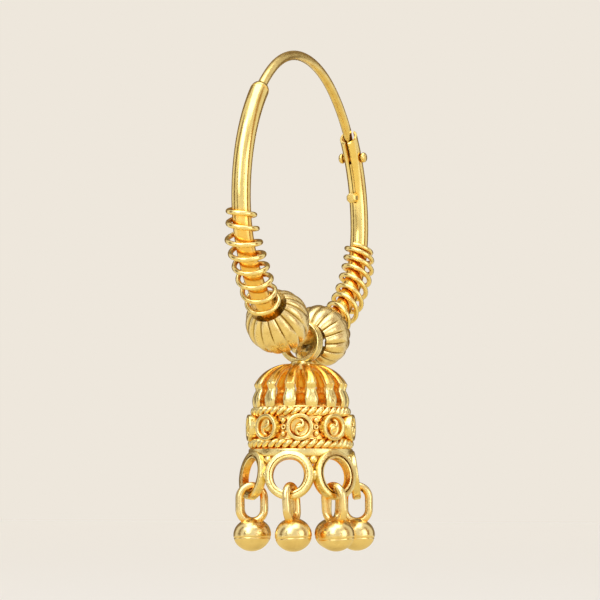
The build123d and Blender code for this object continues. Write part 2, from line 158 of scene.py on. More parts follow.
class FinishSettings(bpy.types.PropertyGroup):
    """Colours of the gold plate on each kind of piece, and of the painted shade and reflection in its
    corners and hollows.
    """

    tube: colour("Tube", "Polished plate on the hoop's tube", 0.99, 0.775, 0.295)
    wire: colour("Ear wire", "Drawn wire, a little olive", 0.90, 0.71, 0.28)
    coil: colour("Coils", "Plate on the coils", 0.98, 0.79, 0.34)
    bead: colour("Fluted beads", "Satin plate, paler and cooler", 0.94, 0.78, 0.40)
    cast: colour("Bell", "Plate on the cast bell", 0.935, 0.79, 0.365)
    drop: colour("Drops", "Satin plate on the drops", 0.935, 0.77, 0.38)
    stain: colour("Stain", "Brown tone of worn or uneven plate", 0.48, 0.29, 0.07)
    # painted reflection: orange in corners and on inner faces, standing in for gold reflected in gold
    recess: colour("Recesses", "Orange tone of the plate in corners", 1.0, 0.52, 0.055)
    # painted shade: olive brown darkening in corners of smooth pieces
    groove: colour("Grooves", "Olive brown tone in corners of smooth pieces", 0.46, 0.34, 0.10)
    # painted shade: red-brown darkening deep inside hollows
    deep: colour("Deep recesses", "Red-brown tone inside hollows", 0.42, 0.14, 0.02)


class StageSettings(bpy.types.PropertyGroup):
    """Backdrop, floor, shading cards and camera."""

    backdrop: colour("Backdrop", "Pale colour behind and under the earring", 0.855, 0.799, 0.716)
    # painted shade: the floor's paint under the earring, darker to offset the lamps' light there
    floor: colour("Floor", "Paint of the floor under the earring", 0.56, 0.56, 0.57)
    card: colour("Shading cards", "Paint of the cards that the gold reflects", 0.15, 0.10, 0.045)
    card_warm: colour("Warm cards", "Paint of the cards on the right", 0.34, 0.19, 0.06)
    card_below: colour("Low card", "Paint of the card just above the floor", 0.62, 0.53, 0.30)
    camera_turn: angle("Camera turn", "Direction of the camera round the earring", -65.3)
    camera_distance: length("Camera distance", "From the camera to the earring", 260)
    camera_height: length("Camera height", "Camera height in the earring's frame", -41)
    floor_gap: length("Floor gap", "Distance from the lowest drop to the floor", 14)


SETTINGS = {
    "jhumka_hoop": HoopSizes,
    "jhumka_coil": CoilSizes,
    "jhumka_bead": BeadSizes,
    "jhumka_bell": BellSizes,
    "jhumka_drop": DropSizes,
    "jhumka_finish": FinishSettings,
    "jhumka_stage": StageSettings,
}


def read(context, key):
    """A settings group as plain values, with its lengths in millimetres."""
    group = getattr(context.scene, key)
    values = {}
    for prop in group.bl_rna.properties:
        if prop.identifier in ("rna_type", "name"):
            continue
        value = getattr(group, prop.identifier)
        values[prop.identifier] = value / MM if getattr(prop, "unit", "") == "LENGTH" else value
    return SimpleNamespace(**values)


# ---------------------------------------------------------------- the hoop's line
HOOP_HEIGHT = 26.58
HOOP_REACH = {1: 14.05, -1: 12.84}      # lowest point to the furthest, hinge side and socket side
HOOP_RISE = {1: 11.27, -1: 11.98}       # height of that furthest point above the lowest
HOOP_TOP_SHIFT = 0.20
HOOP_BREAKS = (35.0, 55.0)              # turns at which a lower and an upper quarter bend less
BOTTOM = Vector((-HOOP_TOP_SHIFT, 0, 0.45 - HOOP_HEIGHT))

SOCKET_TURN = -131.2
MOUTH_TURN = 125.0
PIN_TURN = 115.75
KNOB_TURN = 101.8


def quarter_radii(along, across, first_turn):
    """Radii of two tangent arcs that turn a quarter, going `along` and then `across`."""
    s, c = sin(radians(first_turn)), cos(radians(first_turn))
    second = (across - along * (1 - c) / s) / (c - (1 - s) * (1 - c) / s)
    return (along - second * (1 - s)) / s, second


def side_arcs(side):
    """One side's arcs from the bottom up, as (last turn, radius, centre x, centre z)."""
    reach, rise = HOOP_REACH[side], HOOP_RISE[side]
    radii = quarter_radii(reach, rise, HOOP_BREAKS[0])
    radii += quarter_radii(HOOP_HEIGHT - rise, reach - side * HOOP_TOP_SHIFT, HOOP_BREAKS[1])
    turns = (0.0, HOOP_BREAKS[0], 90.0, 90.0 + HOOP_BREAKS[1], 180.0)
    arcs = []
    x = z = 0.0
    for first, last, radius in zip(turns, turns[1:], radii):
        cx, cz = x - radius * sin(radians(first)), z + radius * cos(radians(first))
        x, z = cx + radius * sin(radians(last)), cz - radius * cos(radians(last))
        arcs.append((last, radius, BOTTOM.x + side * cx, BOTTOM.z + cz))
    return arcs


ARCS = {side: side_arcs(side) for side in (1, -1)}


def outward(turn):
    return Vector((sin(radians(turn)), 0, -cos(radians(turn))))


def forward(turn):
    return Vector((cos(radians(turn)), 0, sin(radians(turn))))


def hoop_point(turn, outwards=0.0, sideways=0.0):
    """Point on the hoop's centreline, moved outwards in its plane and sideways along Y."""
    if turn > 180:
        turn -= 360
    for last, radius, cx, cz in ARCS[1 if turn >= 0 else -1]:
        if abs(turn) <= last + 1e-9:
            break
    reach = radius + outwards
    x = cx + reach * sin(radians(turn))
    return Vector((x, sideways, cz - reach * cos(radians(turn))))


# ---------------------------------------------------------------- the bell's places
BELL_X = BOTTOM.x + 0.10
BELL_ZERO = Vector((BELL_X, 0, BOTTOM.z))        # where drops on the bell's axis count from
UPPER_ROPE = (4.50, 7.27)               # band radius and drop
LOWER_ROPE = (4.76, 10.28)
CUP_DROP = 8.77
BAR_RADIUS = 4.92
BAR_TOP = 10.71
BAR_BOTTOM = 11.49
BAND_BORE = 3.80
EYELET_REACH = 4.98
EYELET_DROP = 13.22
EYELET_FLARE = 8.0
EYELET_RADIUS = 2.30
EYELET_HOLE = 1.60
FIRST_RIB = 190.6
FIRST_CUP = 203.5
FIRST_EYELET = 192.7


def round_axis(degrees_round):
    """Direction away from the bell's axis."""
    return Vector((cos(radians(degrees_round)), sin(radians(degrees_round)), 0))


def bell_point(reach, degrees_round, drop):
    return BELL_ZERO - UP * drop + round_axis(degrees_round) * reach


def spoke_point(reach, drop, sideways=0.0):
    """Point of a repeated piece, built on the first spoke of an axis that stands at X 0."""
    return Vector((reach, sideways, BOTTOM.z - drop))


# ---------------------------------------------------------------- meshes
def smooth_step(t):
    t = min(max(t, 0.0), 1.0)
    return t * t * (3 - 2 * t)


def spaced(first, last, count):
    return [first + (last - first) * i / (count - 1) for i in range(count)]


def circle(count):
    """Angles of points spaced evenly round a circle."""
    return [tau * i / count for i in range(count)]


def arc(radius, angles, x=0.0, y=0.0):
    """Points of an arc in a plane, from its angles in degrees and its centre."""
    return [(x + radius * cos(radians(a)), y + radius * sin(radians(a))) for a in angles]


def along_table(rows, place):
    """Values of a table's columns at a place, blended smoothly between its rows."""
    place = min(place, rows[-1][0])
    for low, high in zip(rows, rows[1:]):
        if place <= high[0]:
            break
    blend = smooth_step((place - low[0]) / (high[0] - low[0]))
    return [a + (b - a) * blend for a, b in zip(low[1:], high[1:])]


def ring_mesh(rings, closed=False):
    """Skin over rings of points, with a point at each open end."""
    mesh = bmesh.new()
    rows = [[mesh.verts.new(p) for p in ring] for ring in rings]
    for row, following in zip(rows, rows[1:] + (rows[:1] if closed else [])):
        for i in range(len(row)):
            j = (i + 1) % len(row)
            mesh.faces.new((row[i], row[j], following[j], following[i]))
    if not closed:
        for row in (rows[0], rows[-1]):
            tip = mesh.verts.new(sum((v.co for v in row), Vector()) / len(row))
            for i in range(len(row)):
                mesh.faces.new((row[i], row[(i + 1) % len(row)], tip))
    return mesh


def lathe(profile, centre, axis, radial, steps):
    """Closed profile of (radius, along) pairs, turned about an axis."""
    across = axis.cross(radial)
    spokes = [radial * cos(a) + across * sin(a) for a in circle(steps)]
    rings = [[centre + spoke * r + axis * h for r, h in profile] for spoke in spokes]
    return ring_mesh(rings, closed=True)


def wire_ring(place, along, across, radius, sides):
    """Ring of points round a wire at a place on its line."""
    normal = across.cross(along)
    return [place + (normal * cos(a) + across * sin(a)) * radius for a in circle(sides)]


def ball(centre, radius, steps=20, squash=1.0):
    """Round bead of level rings, stretched along Z by squash."""
    rings = []
    for i in range(1, steps // 2):
        polar = pi * i / (steps // 2)
        ring = []
        for a in circle(steps):
            offset = Vector((sin(polar) * cos(a), sin(polar) * sin(a), squash * cos(polar)))
            ring.append(centre + offset * radius)
        rings.append(ring)
    mesh = ring_mesh(rings)
    mesh.verts.ensure_lookup_table()
    mesh.verts[-2].co = centre + UP * radius * squash
    mesh.verts[-1].co = centre - UP * radius * squash
    return mesh


def join(meshes):
    """Several meshes as one."""
    whole = bmesh.new()
    for mesh in meshes:
        piece = bpy.data.meshes.new("part")
        mesh.to_mesh(piece)
        mesh.free()
        whole.from_mesh(piece)
        bpy.data.meshes.remove(piece)
    return whole


def link_object(name, data):
    """Object of a mesh, lamp or camera, put in the scene."""
    made = bpy.data.objects.new(name, data)
    bpy.context.scene.collection.objects.link(made)
    return made


def make_object(name, mesh, material=None, weld=0.002):
    """Object in metres from a mesh in millimetres, welded and facing outwards."""
    bmesh.ops.remove_doubles(mesh, verts=mesh.verts, dist=weld)
    bmesh.ops.recalc_face_normals(mesh, faces=mesh.faces)
    bmesh.ops.scale(mesh, vec=(MM, MM, MM), verts=mesh.verts)
    data = bpy.data.meshes.new(name)
    mesh.to_mesh(data)
    mesh.free()
    if material:
        data.materials.append(material)
    return link_object(name, data)


def line_object(name, points):
    """Object with one open line through points given in millimetres."""
    data = bpy.data.meshes.new(name)
    data.from_pydata([p * MM for p in points], [(i, i + 1) for i in range(len(points) - 1)], [])
    return link_object(name, data)


def empty_object(name):
    """Object with one loose point, for a node tree that makes all of its mesh."""
    return line_object(name, [Vector()])


def bake_modifiers(piece):
    """Turns a piece and its live modifiers into one plain mesh."""
    bpy.context.view_layer.update()
    evaluated = piece.evaluated_get(bpy.context.evaluated_depsgraph_get())
    plain = bpy.data.meshes.new_from_object(evaluated)
    old = piece.data
    plain.name = old.name
    piece.modifiers.clear()
    piece.data = plain
    bpy.data.meshes.remove(old)


def cut_away(piece, cutter_mesh):
    """Takes a closed shape, given in millimetres, out of a piece."""
    cutter = make_object("cutter", cutter_mesh)
    boolean = piece.modifiers.new("cut", "BOOLEAN")
    boolean.operation = "DIFFERENCE"
    boolean.solver = "EXACT"
    boolean.object = cutter
    bake_modifiers(piece)
    data = cutter.data
    bpy.data.objects.remove(cutter)
    bpy.data.meshes.remove(data)


def settle(piece, body, node, sharp=60.0):
    """Smooths a finished piece, seats it on its body and hides the frame's node that it stands for."""
    piece.data.polygons.foreach_set("use_smooth", [True] * len(piece.data.polygons))
    piece.data.set_sharp_from_angle(angle=radians(sharp))
    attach(piece, body)
    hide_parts(node)


def settle_on_bell(piece, sharp=60.0):
    settle(piece, "bell", "jhumka_bell", sharp)


# ---------------------------------------------------------------- node trees
def feed(tree, socket, value):
    """Links a value, or a list of values, to a socket, or sets the socket's own number."""
    for one in value if isinstance(value, list) else [value]:
        if isinstance(one, Value):
            tree.links.new(one.socket, socket)
        else:
            socket.default_value = one


def add_node(tree, kind, inputs=None, output=0, **settings):
    """Adds a node, sets its attributes, feeds its inputs, and gives one of its outputs."""
    made = tree.nodes.new(kind)
    for key, value in settings.items():
        setattr(made, key, value)
    for label, value in (inputs or {}).items():
        feed(tree, made.inputs[label], value)
    return Value(tree, made.outputs[output]) if made.outputs else None


class Value:
    """An output in a node tree, which plain arithmetic can be done with."""

    def __init__(self, tree, socket):
        self.tree = tree
        self.socket = socket

    def math(self, operation, *others):
        inputs = dict(enumerate((self, *others)))
        return add_node(self.tree, "ShaderNodeMath", inputs, operation=operation)

    def __add__(self, other):
        return self.math("ADD", other)

    def __sub__(self, other):
        return self.math("SUBTRACT", other)

    def __mul__(self, other):
        return self.math("MULTIPLY", other)

    def __truediv__(self, other):
        return self.math("DIVIDE", other)

    def sine(self):
        return self.math("SINE")

    def cosine(self):
        return self.math("COSINE")

    def size(self, most=None):
        """Distance from zero, held at a most."""
        plain = self.math("ABSOLUTE")
        return plain if most is None else plain.math("MINIMUM", most)


# ---------------------------------------------------------------- Geometry Nodes
class Tree:
    """A Geometry Nodes tree under construction, with named inputs."""

    KINDS = {float: "NodeSocketFloat", int: "NodeSocketInt"}

    def __init__(self, name, inputs):
        self.group = bpy.data.node_groups.new(name, "GeometryNodeTree")
        self.socket("Geometry", "NodeSocketGeometry")
        for label, default in inputs.items():
            self.socket(label, self.KINDS[type(default)]).default_value = default
        self.socket("Material", "NodeSocketMaterial")
        self.socket("Geometry", "NodeSocketGeometry", "OUTPUT")
        self.source = self.group.nodes.new("NodeGroupInput")

    def socket(self, name, kind, in_out="INPUT"):
        return self.group.interface.new_socket(name=name, in_out=in_out, socket_type=kind)

    def add(self, kind, inputs=None, output=0, **settings):
        return add_node(self.group, kind, inputs, output, **settings)

    def value(self, label):
        return Value(self.group, self.source.outputs[label])

    def vector(self, x, y, z):
        return self.add("ShaderNodeCombineXYZ", {"X": x, "Y": y, "Z": z})

    def circle(self, points, radius):
        inputs = {"Resolution": points, "Radius": radius}
        return self.add("GeometryNodeCurvePrimitiveCircle", inputs, mode="RADIUS")

    def move(self, geometry, **place):
        """Sets the points' Position, or their Offset."""
        return self.add("GeometryNodeSetPosition", {"Geometry": geometry, **place})

    def nudge(self, geometry, amount, noise_scale, detail):
        """Moves points a little by soft noise, from the tree's own seed."""
        place = self.add("GeometryNodeInputPosition")
        inputs = {"Vector": place, "W": self.value("Seed"), "Scale": noise_scale, "Detail": detail}
        drift = self.add("ShaderNodeTexNoise", inputs, "Color", noise_dimensions="4D")
        middle = (0.5, 0.5, 0.5)
        centred = self.add("ShaderNodeVectorMath", {0: drift, 1: middle}, operation="SUBTRACT")
        offset = self.add("ShaderNodeVectorMath", {0: centred, "Scale": amount}, operation="SCALE")
        return self.move(geometry, Offset=offset)

    def finish(self, geometry):
        """Ends the tree in Realize Instances and Set Material."""
        solid = self.add("GeometryNodeRealizeInstances", {0: geometry})
        inputs = {"Geometry": solid, "Material": self.value("Material")}
        self.add("NodeGroupOutput", {0: self.add("GeometryNodeSetMaterial", inputs)})
        return self.group


def grow(piece, group, material, **inputs):
    """Runs a tree on a piece, with inputs given by name, and keeps the plain mesh it makes."""
    modifier = piece.modifiers.new(group.name, "NODES")
    modifier.node_group = group
    inputs = {key.replace("_", " ").capitalize(): value for key, value in inputs.items()}
    inputs["Material"] = material
    for item in group.interface.items_tree:
        if item.in_out == "INPUT" and item.name in inputs:
            modifier[item.identifier] = inputs[item.name]
    bake_modifiers(piece)


def wound_wire_tree():
    """A round wire along a line of points, nudged a little as if wound by hand."""
    tree = Tree("Wound wire", {"Wire radius": 0.0002, "Sides": 12, "Wobble": 0.0, "Seed": 7.0})
    line = tree.add("GeometryNodeMeshToCurve", {"Mesh": tree.value("Geometry")})
    moved = tree.nudge(line, tree.value("Wobble") * 2, noise_scale=420.0, detail=0.0)
    section = tree.circle(tree.value("Sides"), tree.value("Wire radius"))
    inputs = {"Curve": moved, "Profile Curve": section, "Fill Caps": True}
    return tree.finish(tree.add("GeometryNodeCurveToMesh", inputs))


REPEAT_NAME = "Repeat round the bell"


def repeat_tree():
    """Copies of a piece set evenly round the bell's axis, with a cast surface's uneven form."""
    tree = Tree(REPEAT_NAME, {
        "Count": 8, "First angle": 0.0, "Axis x": 0.0, "Unevenness": 0.0, "Seed": 3.0,
    })
    spot = tree.vector(tree.value("Axis x"), 0.0, 0.0)
    spots = tree.add("GeometryNodePoints", {"Count": tree.value("Count"), "Position": spot})
    index = tree.add("GeometryNodeInputIndex")
    turn = index * tau / tree.value("Count") + tree.value("First angle")
    copies = tree.add("GeometryNodeInstanceOnPoints", {
        "Points": spots, "Instance": tree.value("Geometry"), "Rotation": tree.vector(0.0, 0.0, turn),
    })
    solid = tree.add("GeometryNodeRealizeInstances", {0: copies})
    uneven = tree.nudge(solid, tree.value("Unevenness"), noise_scale=700.0, detail=1.0)
    return tree.finish(uneven)


STRAND_FULLNESS = 1.06                  # a strand's radius against its distance from the rope's line


def rope_tree():
    """Two strands twisted round each other along a level ring."""
    tree = Tree("Twisted rope", {
        "Lobes": 38, "Ring radius": 0.0045, "Strand radius": 0.0002, "Axis x": 0.0, "Height": 0.0,
        "Points per lobe": 9, "Sides": 12,
    })
    lobes, ring_radius, strand = map(tree.value, ("Lobes", "Ring radius", "Strand radius"))
    strands = []
    for phase in (0.0, pi):
        ring = tree.circle(lobes * tree.value("Points per lobe"), ring_radius)
        turn = tree.add("GeometryNodeSplineParameter", output="Factor") * tau
        twist = turn * lobes / 2 + phase
        reach = ring_radius + strand * twist.cosine()
        rise = tree.value("Height") + strand * twist.sine()
        across = tree.value("Axis x") + reach * turn.cosine()
        line = tree.move(ring, Position=tree.vector(across, reach * turn.sine(), rise))
        section = tree.circle(tree.value("Sides"), strand * STRAND_FULLNESS)
        inputs = {"Curve": line, "Profile Curve": section}
        strands.append(tree.add("GeometryNodeCurveToMesh", inputs))
    return tree.finish(tree.add("GeometryNodeJoinGeometry", {0: strands}))


FLUTE_ROUNDNESS = 0.55
BELT_DEPTH = 0.25                       # share of the flutes' depth that is left at the belt
BELT_STEEPNESS = 2.6
SEAM_STEEPNESS = 28.0


def fluted_bead_tree():
    """Skin of a bead with grooves from mouth to mouth, upright round the Z axis."""
    tree = Tree("Fluted bead", {
        "Radius": 0.003, "Mouth": 0.0018, "Flute depth": 0.0002, "Flutes": 16,
        "Points per flute": 16, "Rows": 60, "Seam depth": 0.00004,
    })
    full, flutes = tree.value("Radius"), tree.value("Flutes")
    grid = tree.add("GeometryNodeMeshGrid", {
        "Size X": 1.0, "Size Y": 1.0, "Vertices Y": tree.value("Rows"),
        "Vertices X": flutes * tree.value("Points per flute") + 1,
    })
    flat_place = {0: tree.add("GeometryNodeInputPosition")}
    turn = tree.add("ShaderNodeSeparateXYZ", flat_place, "X") * tau
    level = tree.add("ShaderNodeSeparateXYZ", flat_place, "Y") * 2
    latitude = level * (tree.value("Mouth") / full).math("ARCCOSINE")
    lobe = (turn * flutes / 2).sine().size().math("POWER", FLUTE_ROUNDNESS)
    # the flutes grow shallow towards the belt, where a fine seam runs round the bead
    off_belt = (level * BELT_STEEPNESS).size(1.0)
    depth = tree.value("Flute depth") * (off_belt * (1 - BELT_DEPTH) + BELT_DEPTH)
    seam = (level * SEAM_STEEPNESS).size(1.0) - 1.0
    radius = full - depth + depth * lobe + seam * tree.value("Seam depth")
    reach = radius * latitude.cosine()
    place = tree.vector(reach * turn.cosine(), reach * turn.sine(), radius * latitude.sine())
    moved = tree.move(grid, Position=place)
    inputs = {"Geometry": moved, "Distance": 0.002 * MM}
    return tree.finish(tree.add("GeometryNodeMergeByDistance", inputs))


# ---------------------------------------------------------------- finishes
class Paint:
    """A material under construction, whose one shader is fed at its end."""

    def __init__(self, name):
        self.material = bpy.data.materials.new(name)
        self.material.use_nodes = True
        self.tree = self.material.node_tree
        self.shader = self.tree.nodes["Principled BSDF"]
        self.place = self.add("ShaderNodeTexCoord", output="Object")

    def add(self, kind, inputs=None, output=0, **settings):
        return add_node(self.tree, kind, inputs, output, **settings)

    def vector_math(self, operation, inputs, output=0):
        return self.add("ShaderNodeVectorMath", inputs, output, operation=operation)

    def noise(self, vector, scale, detail=2.0, rough=0.5):
        inputs = {"Vector": vector, "Scale": scale, "Detail": detail, "Roughness": rough}
        return self.add("ShaderNodeTexNoise", inputs)

    def ramp(self, value, low, high, to_low=0.0, to_high=1.0):
        """A value moved from one range to another, and held at the ends."""
        inputs = {"From Min": low, "From Max": high, "To Min": to_low, "To Max": to_high}
        return self.add("ShaderNodeMapRange", {"Value": value, **inputs})

    def blend(self, factor, first, second):
        """Colour between two others, each a value or three numbers."""
        first, second = (c if isinstance(c, Value) else (*c, 1.0) for c in (first, second))
        inputs = {0: factor, 6: first, 7: second}
        return self.add("ShaderNodeMix", inputs, 2, data_type="RGBA")

    def bump(self, height, microns, below=None, strength=1.0):
        """Relief of a depth, on top of the relief below it."""
        inputs = {"Height": height, "Strength": strength, "Distance": microns * 0.001 * MM}
        if below:
            inputs["Normal"] = below
        return self.add("ShaderNodeBump", inputs)

    def finish(self, tone, roughness, relief):
        """Feeds the shader and gives the material."""
        feed(self.tree, self.shader.inputs["Base Color"], tone)
        feed(self.tree, self.shader.inputs["Roughness"], roughness)
        feed(self.tree, self.shader.inputs["Normal"], relief)
        return self.material


CLOUD_TONES = (0.93, 1.05)              # the darker and the lighter clouds, against the base
STAIN_EDGES = (0.47, 0.62)
INWARD_FACING = (0.05, -0.45)           # facing at which the painted inner reflection starts and is full
CROWN_FADE = (4.9, 3.9)                 # drops at which the crown's painted orange reflection starts and is full
CROWN_RAGGEDNESS = 0.5                  # how far that tone's edge strays, in millimetres
DEEP_OPENNESS = (0.30, 0.08)            # open shares at which the painted deep shade starts and is full
GLOSS_SPREAD = (0.75, 1.4)              # the glossiest and the dullest smudges, against the rest
PIT_EDGES = (0.04, 0.16)


def gilt(name, base, tones, roughness, relief_depths, corners, stain, hollow=0.0, crown=0.0):
    """Gold plate, cloudy and stained, with painted shade and reflection in its corners, and a
    hand-worked relief.

    Tones are those of stains, and of the painted shade and reflection of corners, of deep corners and
    of inner faces. Relief depths are those of grain, scratches and pits, in thousandths of a
    millimetre. Corners are (reach in millimetres, open share at which their painted shade starts,
    and at which it is full). Stain is the share of brown patches, hollow the share of the painted
    inner reflection on faces that look towards the bell's axis, and crown its share at the top of the
    dome.
    """
    stain_tone, painted_corner_shade, painted_deep_shade, painted_inner_reflection = tones
    grain, scratches, pits = relief_depths
    reach, start, full = corners
    paint = Paint(name)
    paint.shader.inputs["Metallic"].default_value = 1.0
    fine = paint.vector_math("SCALE", {0: paint.place, "Scale": 1 / MM})

    # uneven plate: soft clouds, then brown patches
    cloud = paint.noise(fine, 0.9, 3.0, 0.6)
    clouds = [[min(c * scale, 1.0) for c in base] for scale in CLOUD_TONES]
    tone = paint.blend(cloud, *clouds)
    patches = paint.ramp(paint.noise(fine, 0.75, 5.0, 0.7), *STAIN_EDGES, 0.0, stain)
    tone = paint.blend(patches, tone, stain_tone)

    # painted shade and reflection: warmer, darker tones where the surface sees little of the open
    inputs = {"Distance": reach * MM}
    openness = paint.add("ShaderNodeAmbientOcclusion", inputs, "AO", samples=8)
    tone = paint.blend(paint.ramp(openness, start, full), tone, painted_corner_shade)
    # painted reflection: the orange inner tone on faces that look towards the bell's axis, and at the
    # top of the dome
    if hollow:
        spoke = paint.vector_math("SUBTRACT", {0: paint.place, 1: (BELL_X * MM, 0.0, 0.0)})
        level = paint.vector_math("MULTIPLY", {0: spoke, 1: (1.0, 1.0, 0.0)})
        away = paint.vector_math("NORMALIZE", {0: level})
        facing = paint.add("ShaderNodeTexCoord", output="Normal")
        outwards = paint.vector_math("DOT_PRODUCT", {0: away, 1: facing}, "Value")
        inwards = paint.ramp(outwards, *INWARD_FACING, 0.0, hollow)
        tone = paint.blend(inwards, tone, painted_inner_reflection)
    if crown:
        height = paint.add("ShaderNodeSeparateXYZ", {0: paint.place}, "Z")
        ends = (-CROWN_RAGGEDNESS * MM, CROWN_RAGGEDNESS * MM)
        ragged = paint.ramp(cloud, 0.3, 0.7, *ends) + height
        fade = [(BOTTOM.z - drop) * MM for drop in CROWN_FADE]
        tone = paint.blend(paint.ramp(ragged, *fade, 0.0, crown), tone, painted_inner_reflection)
    # painted shade: the deep tone in the most closed corners
    tone = paint.blend(paint.ramp(openness, *DEEP_OPENNESS), tone, painted_deep_shade)

    # smudges in the gloss; grain, long scratches, a soft swell and casting pits in the relief
    smudge = paint.noise(fine, 2.3, 4.0, 0.65)
    gloss = paint.ramp(smudge, 0.3, 0.75, *(roughness * scale for scale in GLOSS_SPREAD))
    relief = paint.bump(paint.noise(fine, 9.0, 5.0, 0.6), grain)
    inputs = {"Vector": fine, "Scale": (3.0, 22.0, 5.0), "Rotation": (0.5, 0.3, 0.9)}
    stretched = paint.add("ShaderNodeMapping", inputs)
    relief = paint.bump(paint.noise(stretched, 1.0, 2.0, 0.6), scratches, relief)
    relief = paint.bump(paint.noise(fine, 1.1, 2.0, 0.6), grain * 2.0, relief)
    if pits:
        cells = paint.add("ShaderNodeTexVoronoi", {"Vector": fine, "Scale": 2.4})
        relief = paint.bump(paint.ramp(cells, *PIT_EDGES), pits, relief)
    return paint.finish(tone, gloss, relief)


FINISHES = {
    # key: (painted corner tone, painted deep tone), roughness, (grain, scratches, pits), corners, stain,
    # hollow, crown
    "tube": (("recess", "deep"), 0.16, (3.0, 2.5, 0.0), (1.1, 0.88, 0.45), 0.15),
    "wire": (("groove", "deep"), 0.24, (6.0, 5.0, 10.0), (0.4, 0.68, 0.24), 0.30),
    "coil": (("recess", "deep"), 0.17, (6.0, 4.0, 0.0), (0.9, 0.72, 0.30), 0.15),
    "bead": (("groove", "recess"), 0.23, (14.0, 12.0, 0.0), (0.45, 0.90, 0.62), 0.35),
    "bore": (("recess", "recess"), 0.28, (8.0, 6.0, 0.0), (0.4, 0.35, 0.10), 0.20),
    "cast": (("recess", "deep"), 0.19, (14.0, 4.0, 14.0), (0.7, 0.62, 0.24), 0.20, 0.85),
    "dome": (("recess", "deep"), 0.19, (14.0, 4.0, 12.0), (0.7, 0.66, 0.24), 0.15, 0.85, 0.85),
    "ring": (("groove", "deep"), 0.20, (14.0, 4.0, 12.0), (0.35, 0.78, 0.40), 0.25, 0.85),
    "drop": (("recess", "deep"), 0.21, (5.0, 4.0, 8.0), (1.6, 0.92, 0.45), 0.20),
}
BASE_TONES = {"dome": "cast", "ring": "cast", "bore": "drop"}


def finish_of(context, key):
    """The material of a kind of piece, made the first time that it is asked for."""
    name = f"gilt_{key}"
    if name not in bpy.data.materials:
        colours = read(context, "jhumka_finish")
        (corner, deep), *rest = FINISHES[key]
        base = getattr(colours, BASE_TONES.get(key, key))
        # stain, then the painted corner shade, the painted deep shade and the painted orange reflection
        # of inner faces
        tones = [colours.stain, getattr(colours, corner), getattr(colours, deep), colours.recess]
        gilt(name, base, tones, *rest)
    return bpy.data.materials[name]


# ---------------------------------------------------------------- hoop, ear wire and pin
def hoop_ring(turn, radius, shift=0.0, slope=0.0, side_limit=None, sides=48):
    """Section of a rod along the hoop. Slope leans its inner side back, side_limit flattens it."""
    side_limit = side_limit or radius
    ring = []
    for a in circle(sides):
        out = radius * cos(a)
        along = shift - slope * (TUBE_OUTSIDE - out)
        sideways = min(max(radius * sin(a), -side_limit), side_limit)
        ring.append(hoop_point(turn, out, sideways) + forward(turn) * along)
    return ring


def hoop_bar(first, last, inner, outer, half_width, count=24, ease=0.04):
    """Closed bar along the hoop, between two offsets from its centreline, with eased edges."""
    half = half_width - ease
    corners = [(inner, half), (inner + ease, half_width), (outer - ease, half_width), (outer, half)]
    corners += [(out, -side) for out, side in reversed(corners)]
    turns = spaced(first, last, count)
    return ring_mesh([[hoop_point(t, out, side) for out, side in corners] for t in turns])


def rod_across(turn, radius, half_length, steps=32):
    """Closed round rod through the hoop along Y."""
    profile = [(0, -half_length), (radius, -half_length), (radius, half_length), (0, half_length)]
    return lathe(profile, hoop_point(turn), SIDE, outward(turn), steps)


SOCKET_LENGTH = 0.62
SOCKET_HOLE = 0.55
SOCKET_EASE = 0.03
SOCKET_ROUND = 0.984                    # radius of the socket's rounded outside
SOCKET_POLARS = (39.07, 35, 30, 25, 20, 16, 12, 8, 4)
SOCKET_SHOULDER = 0.02                  # where the tube's bore narrows to the socket's hole
WALL_START = SOCKET_TURN + 1.0
WALL_RINGS = 210
JOINT_LINE = ((-0.035, 0.0), (-0.012, 0.035), (0.012, 0.035), (0.035, 0.0))     # (along, depth)
MOUTH_SLOPE = sin(radians(22.0))
MOUTH_SLOPE_START = 116.0               # turn at which the rings start to lean
MOUTH_EASE = 0.04
BORE_EASE = 0.03
SLIT_END_TURN = 99.6
SLIT_HALF_WIDTH = 0.15
NOTCH_TURN = PIN_TURN - 1.2
NOTCH_HALF_WIDTH = 0.38
PIN_HOLE = 0.24
OVERCUT = 0.4                           # how far a cutter reaches past the metal
OVERCUT_TURN = 3.0
CUTTER_EASE = 0.001


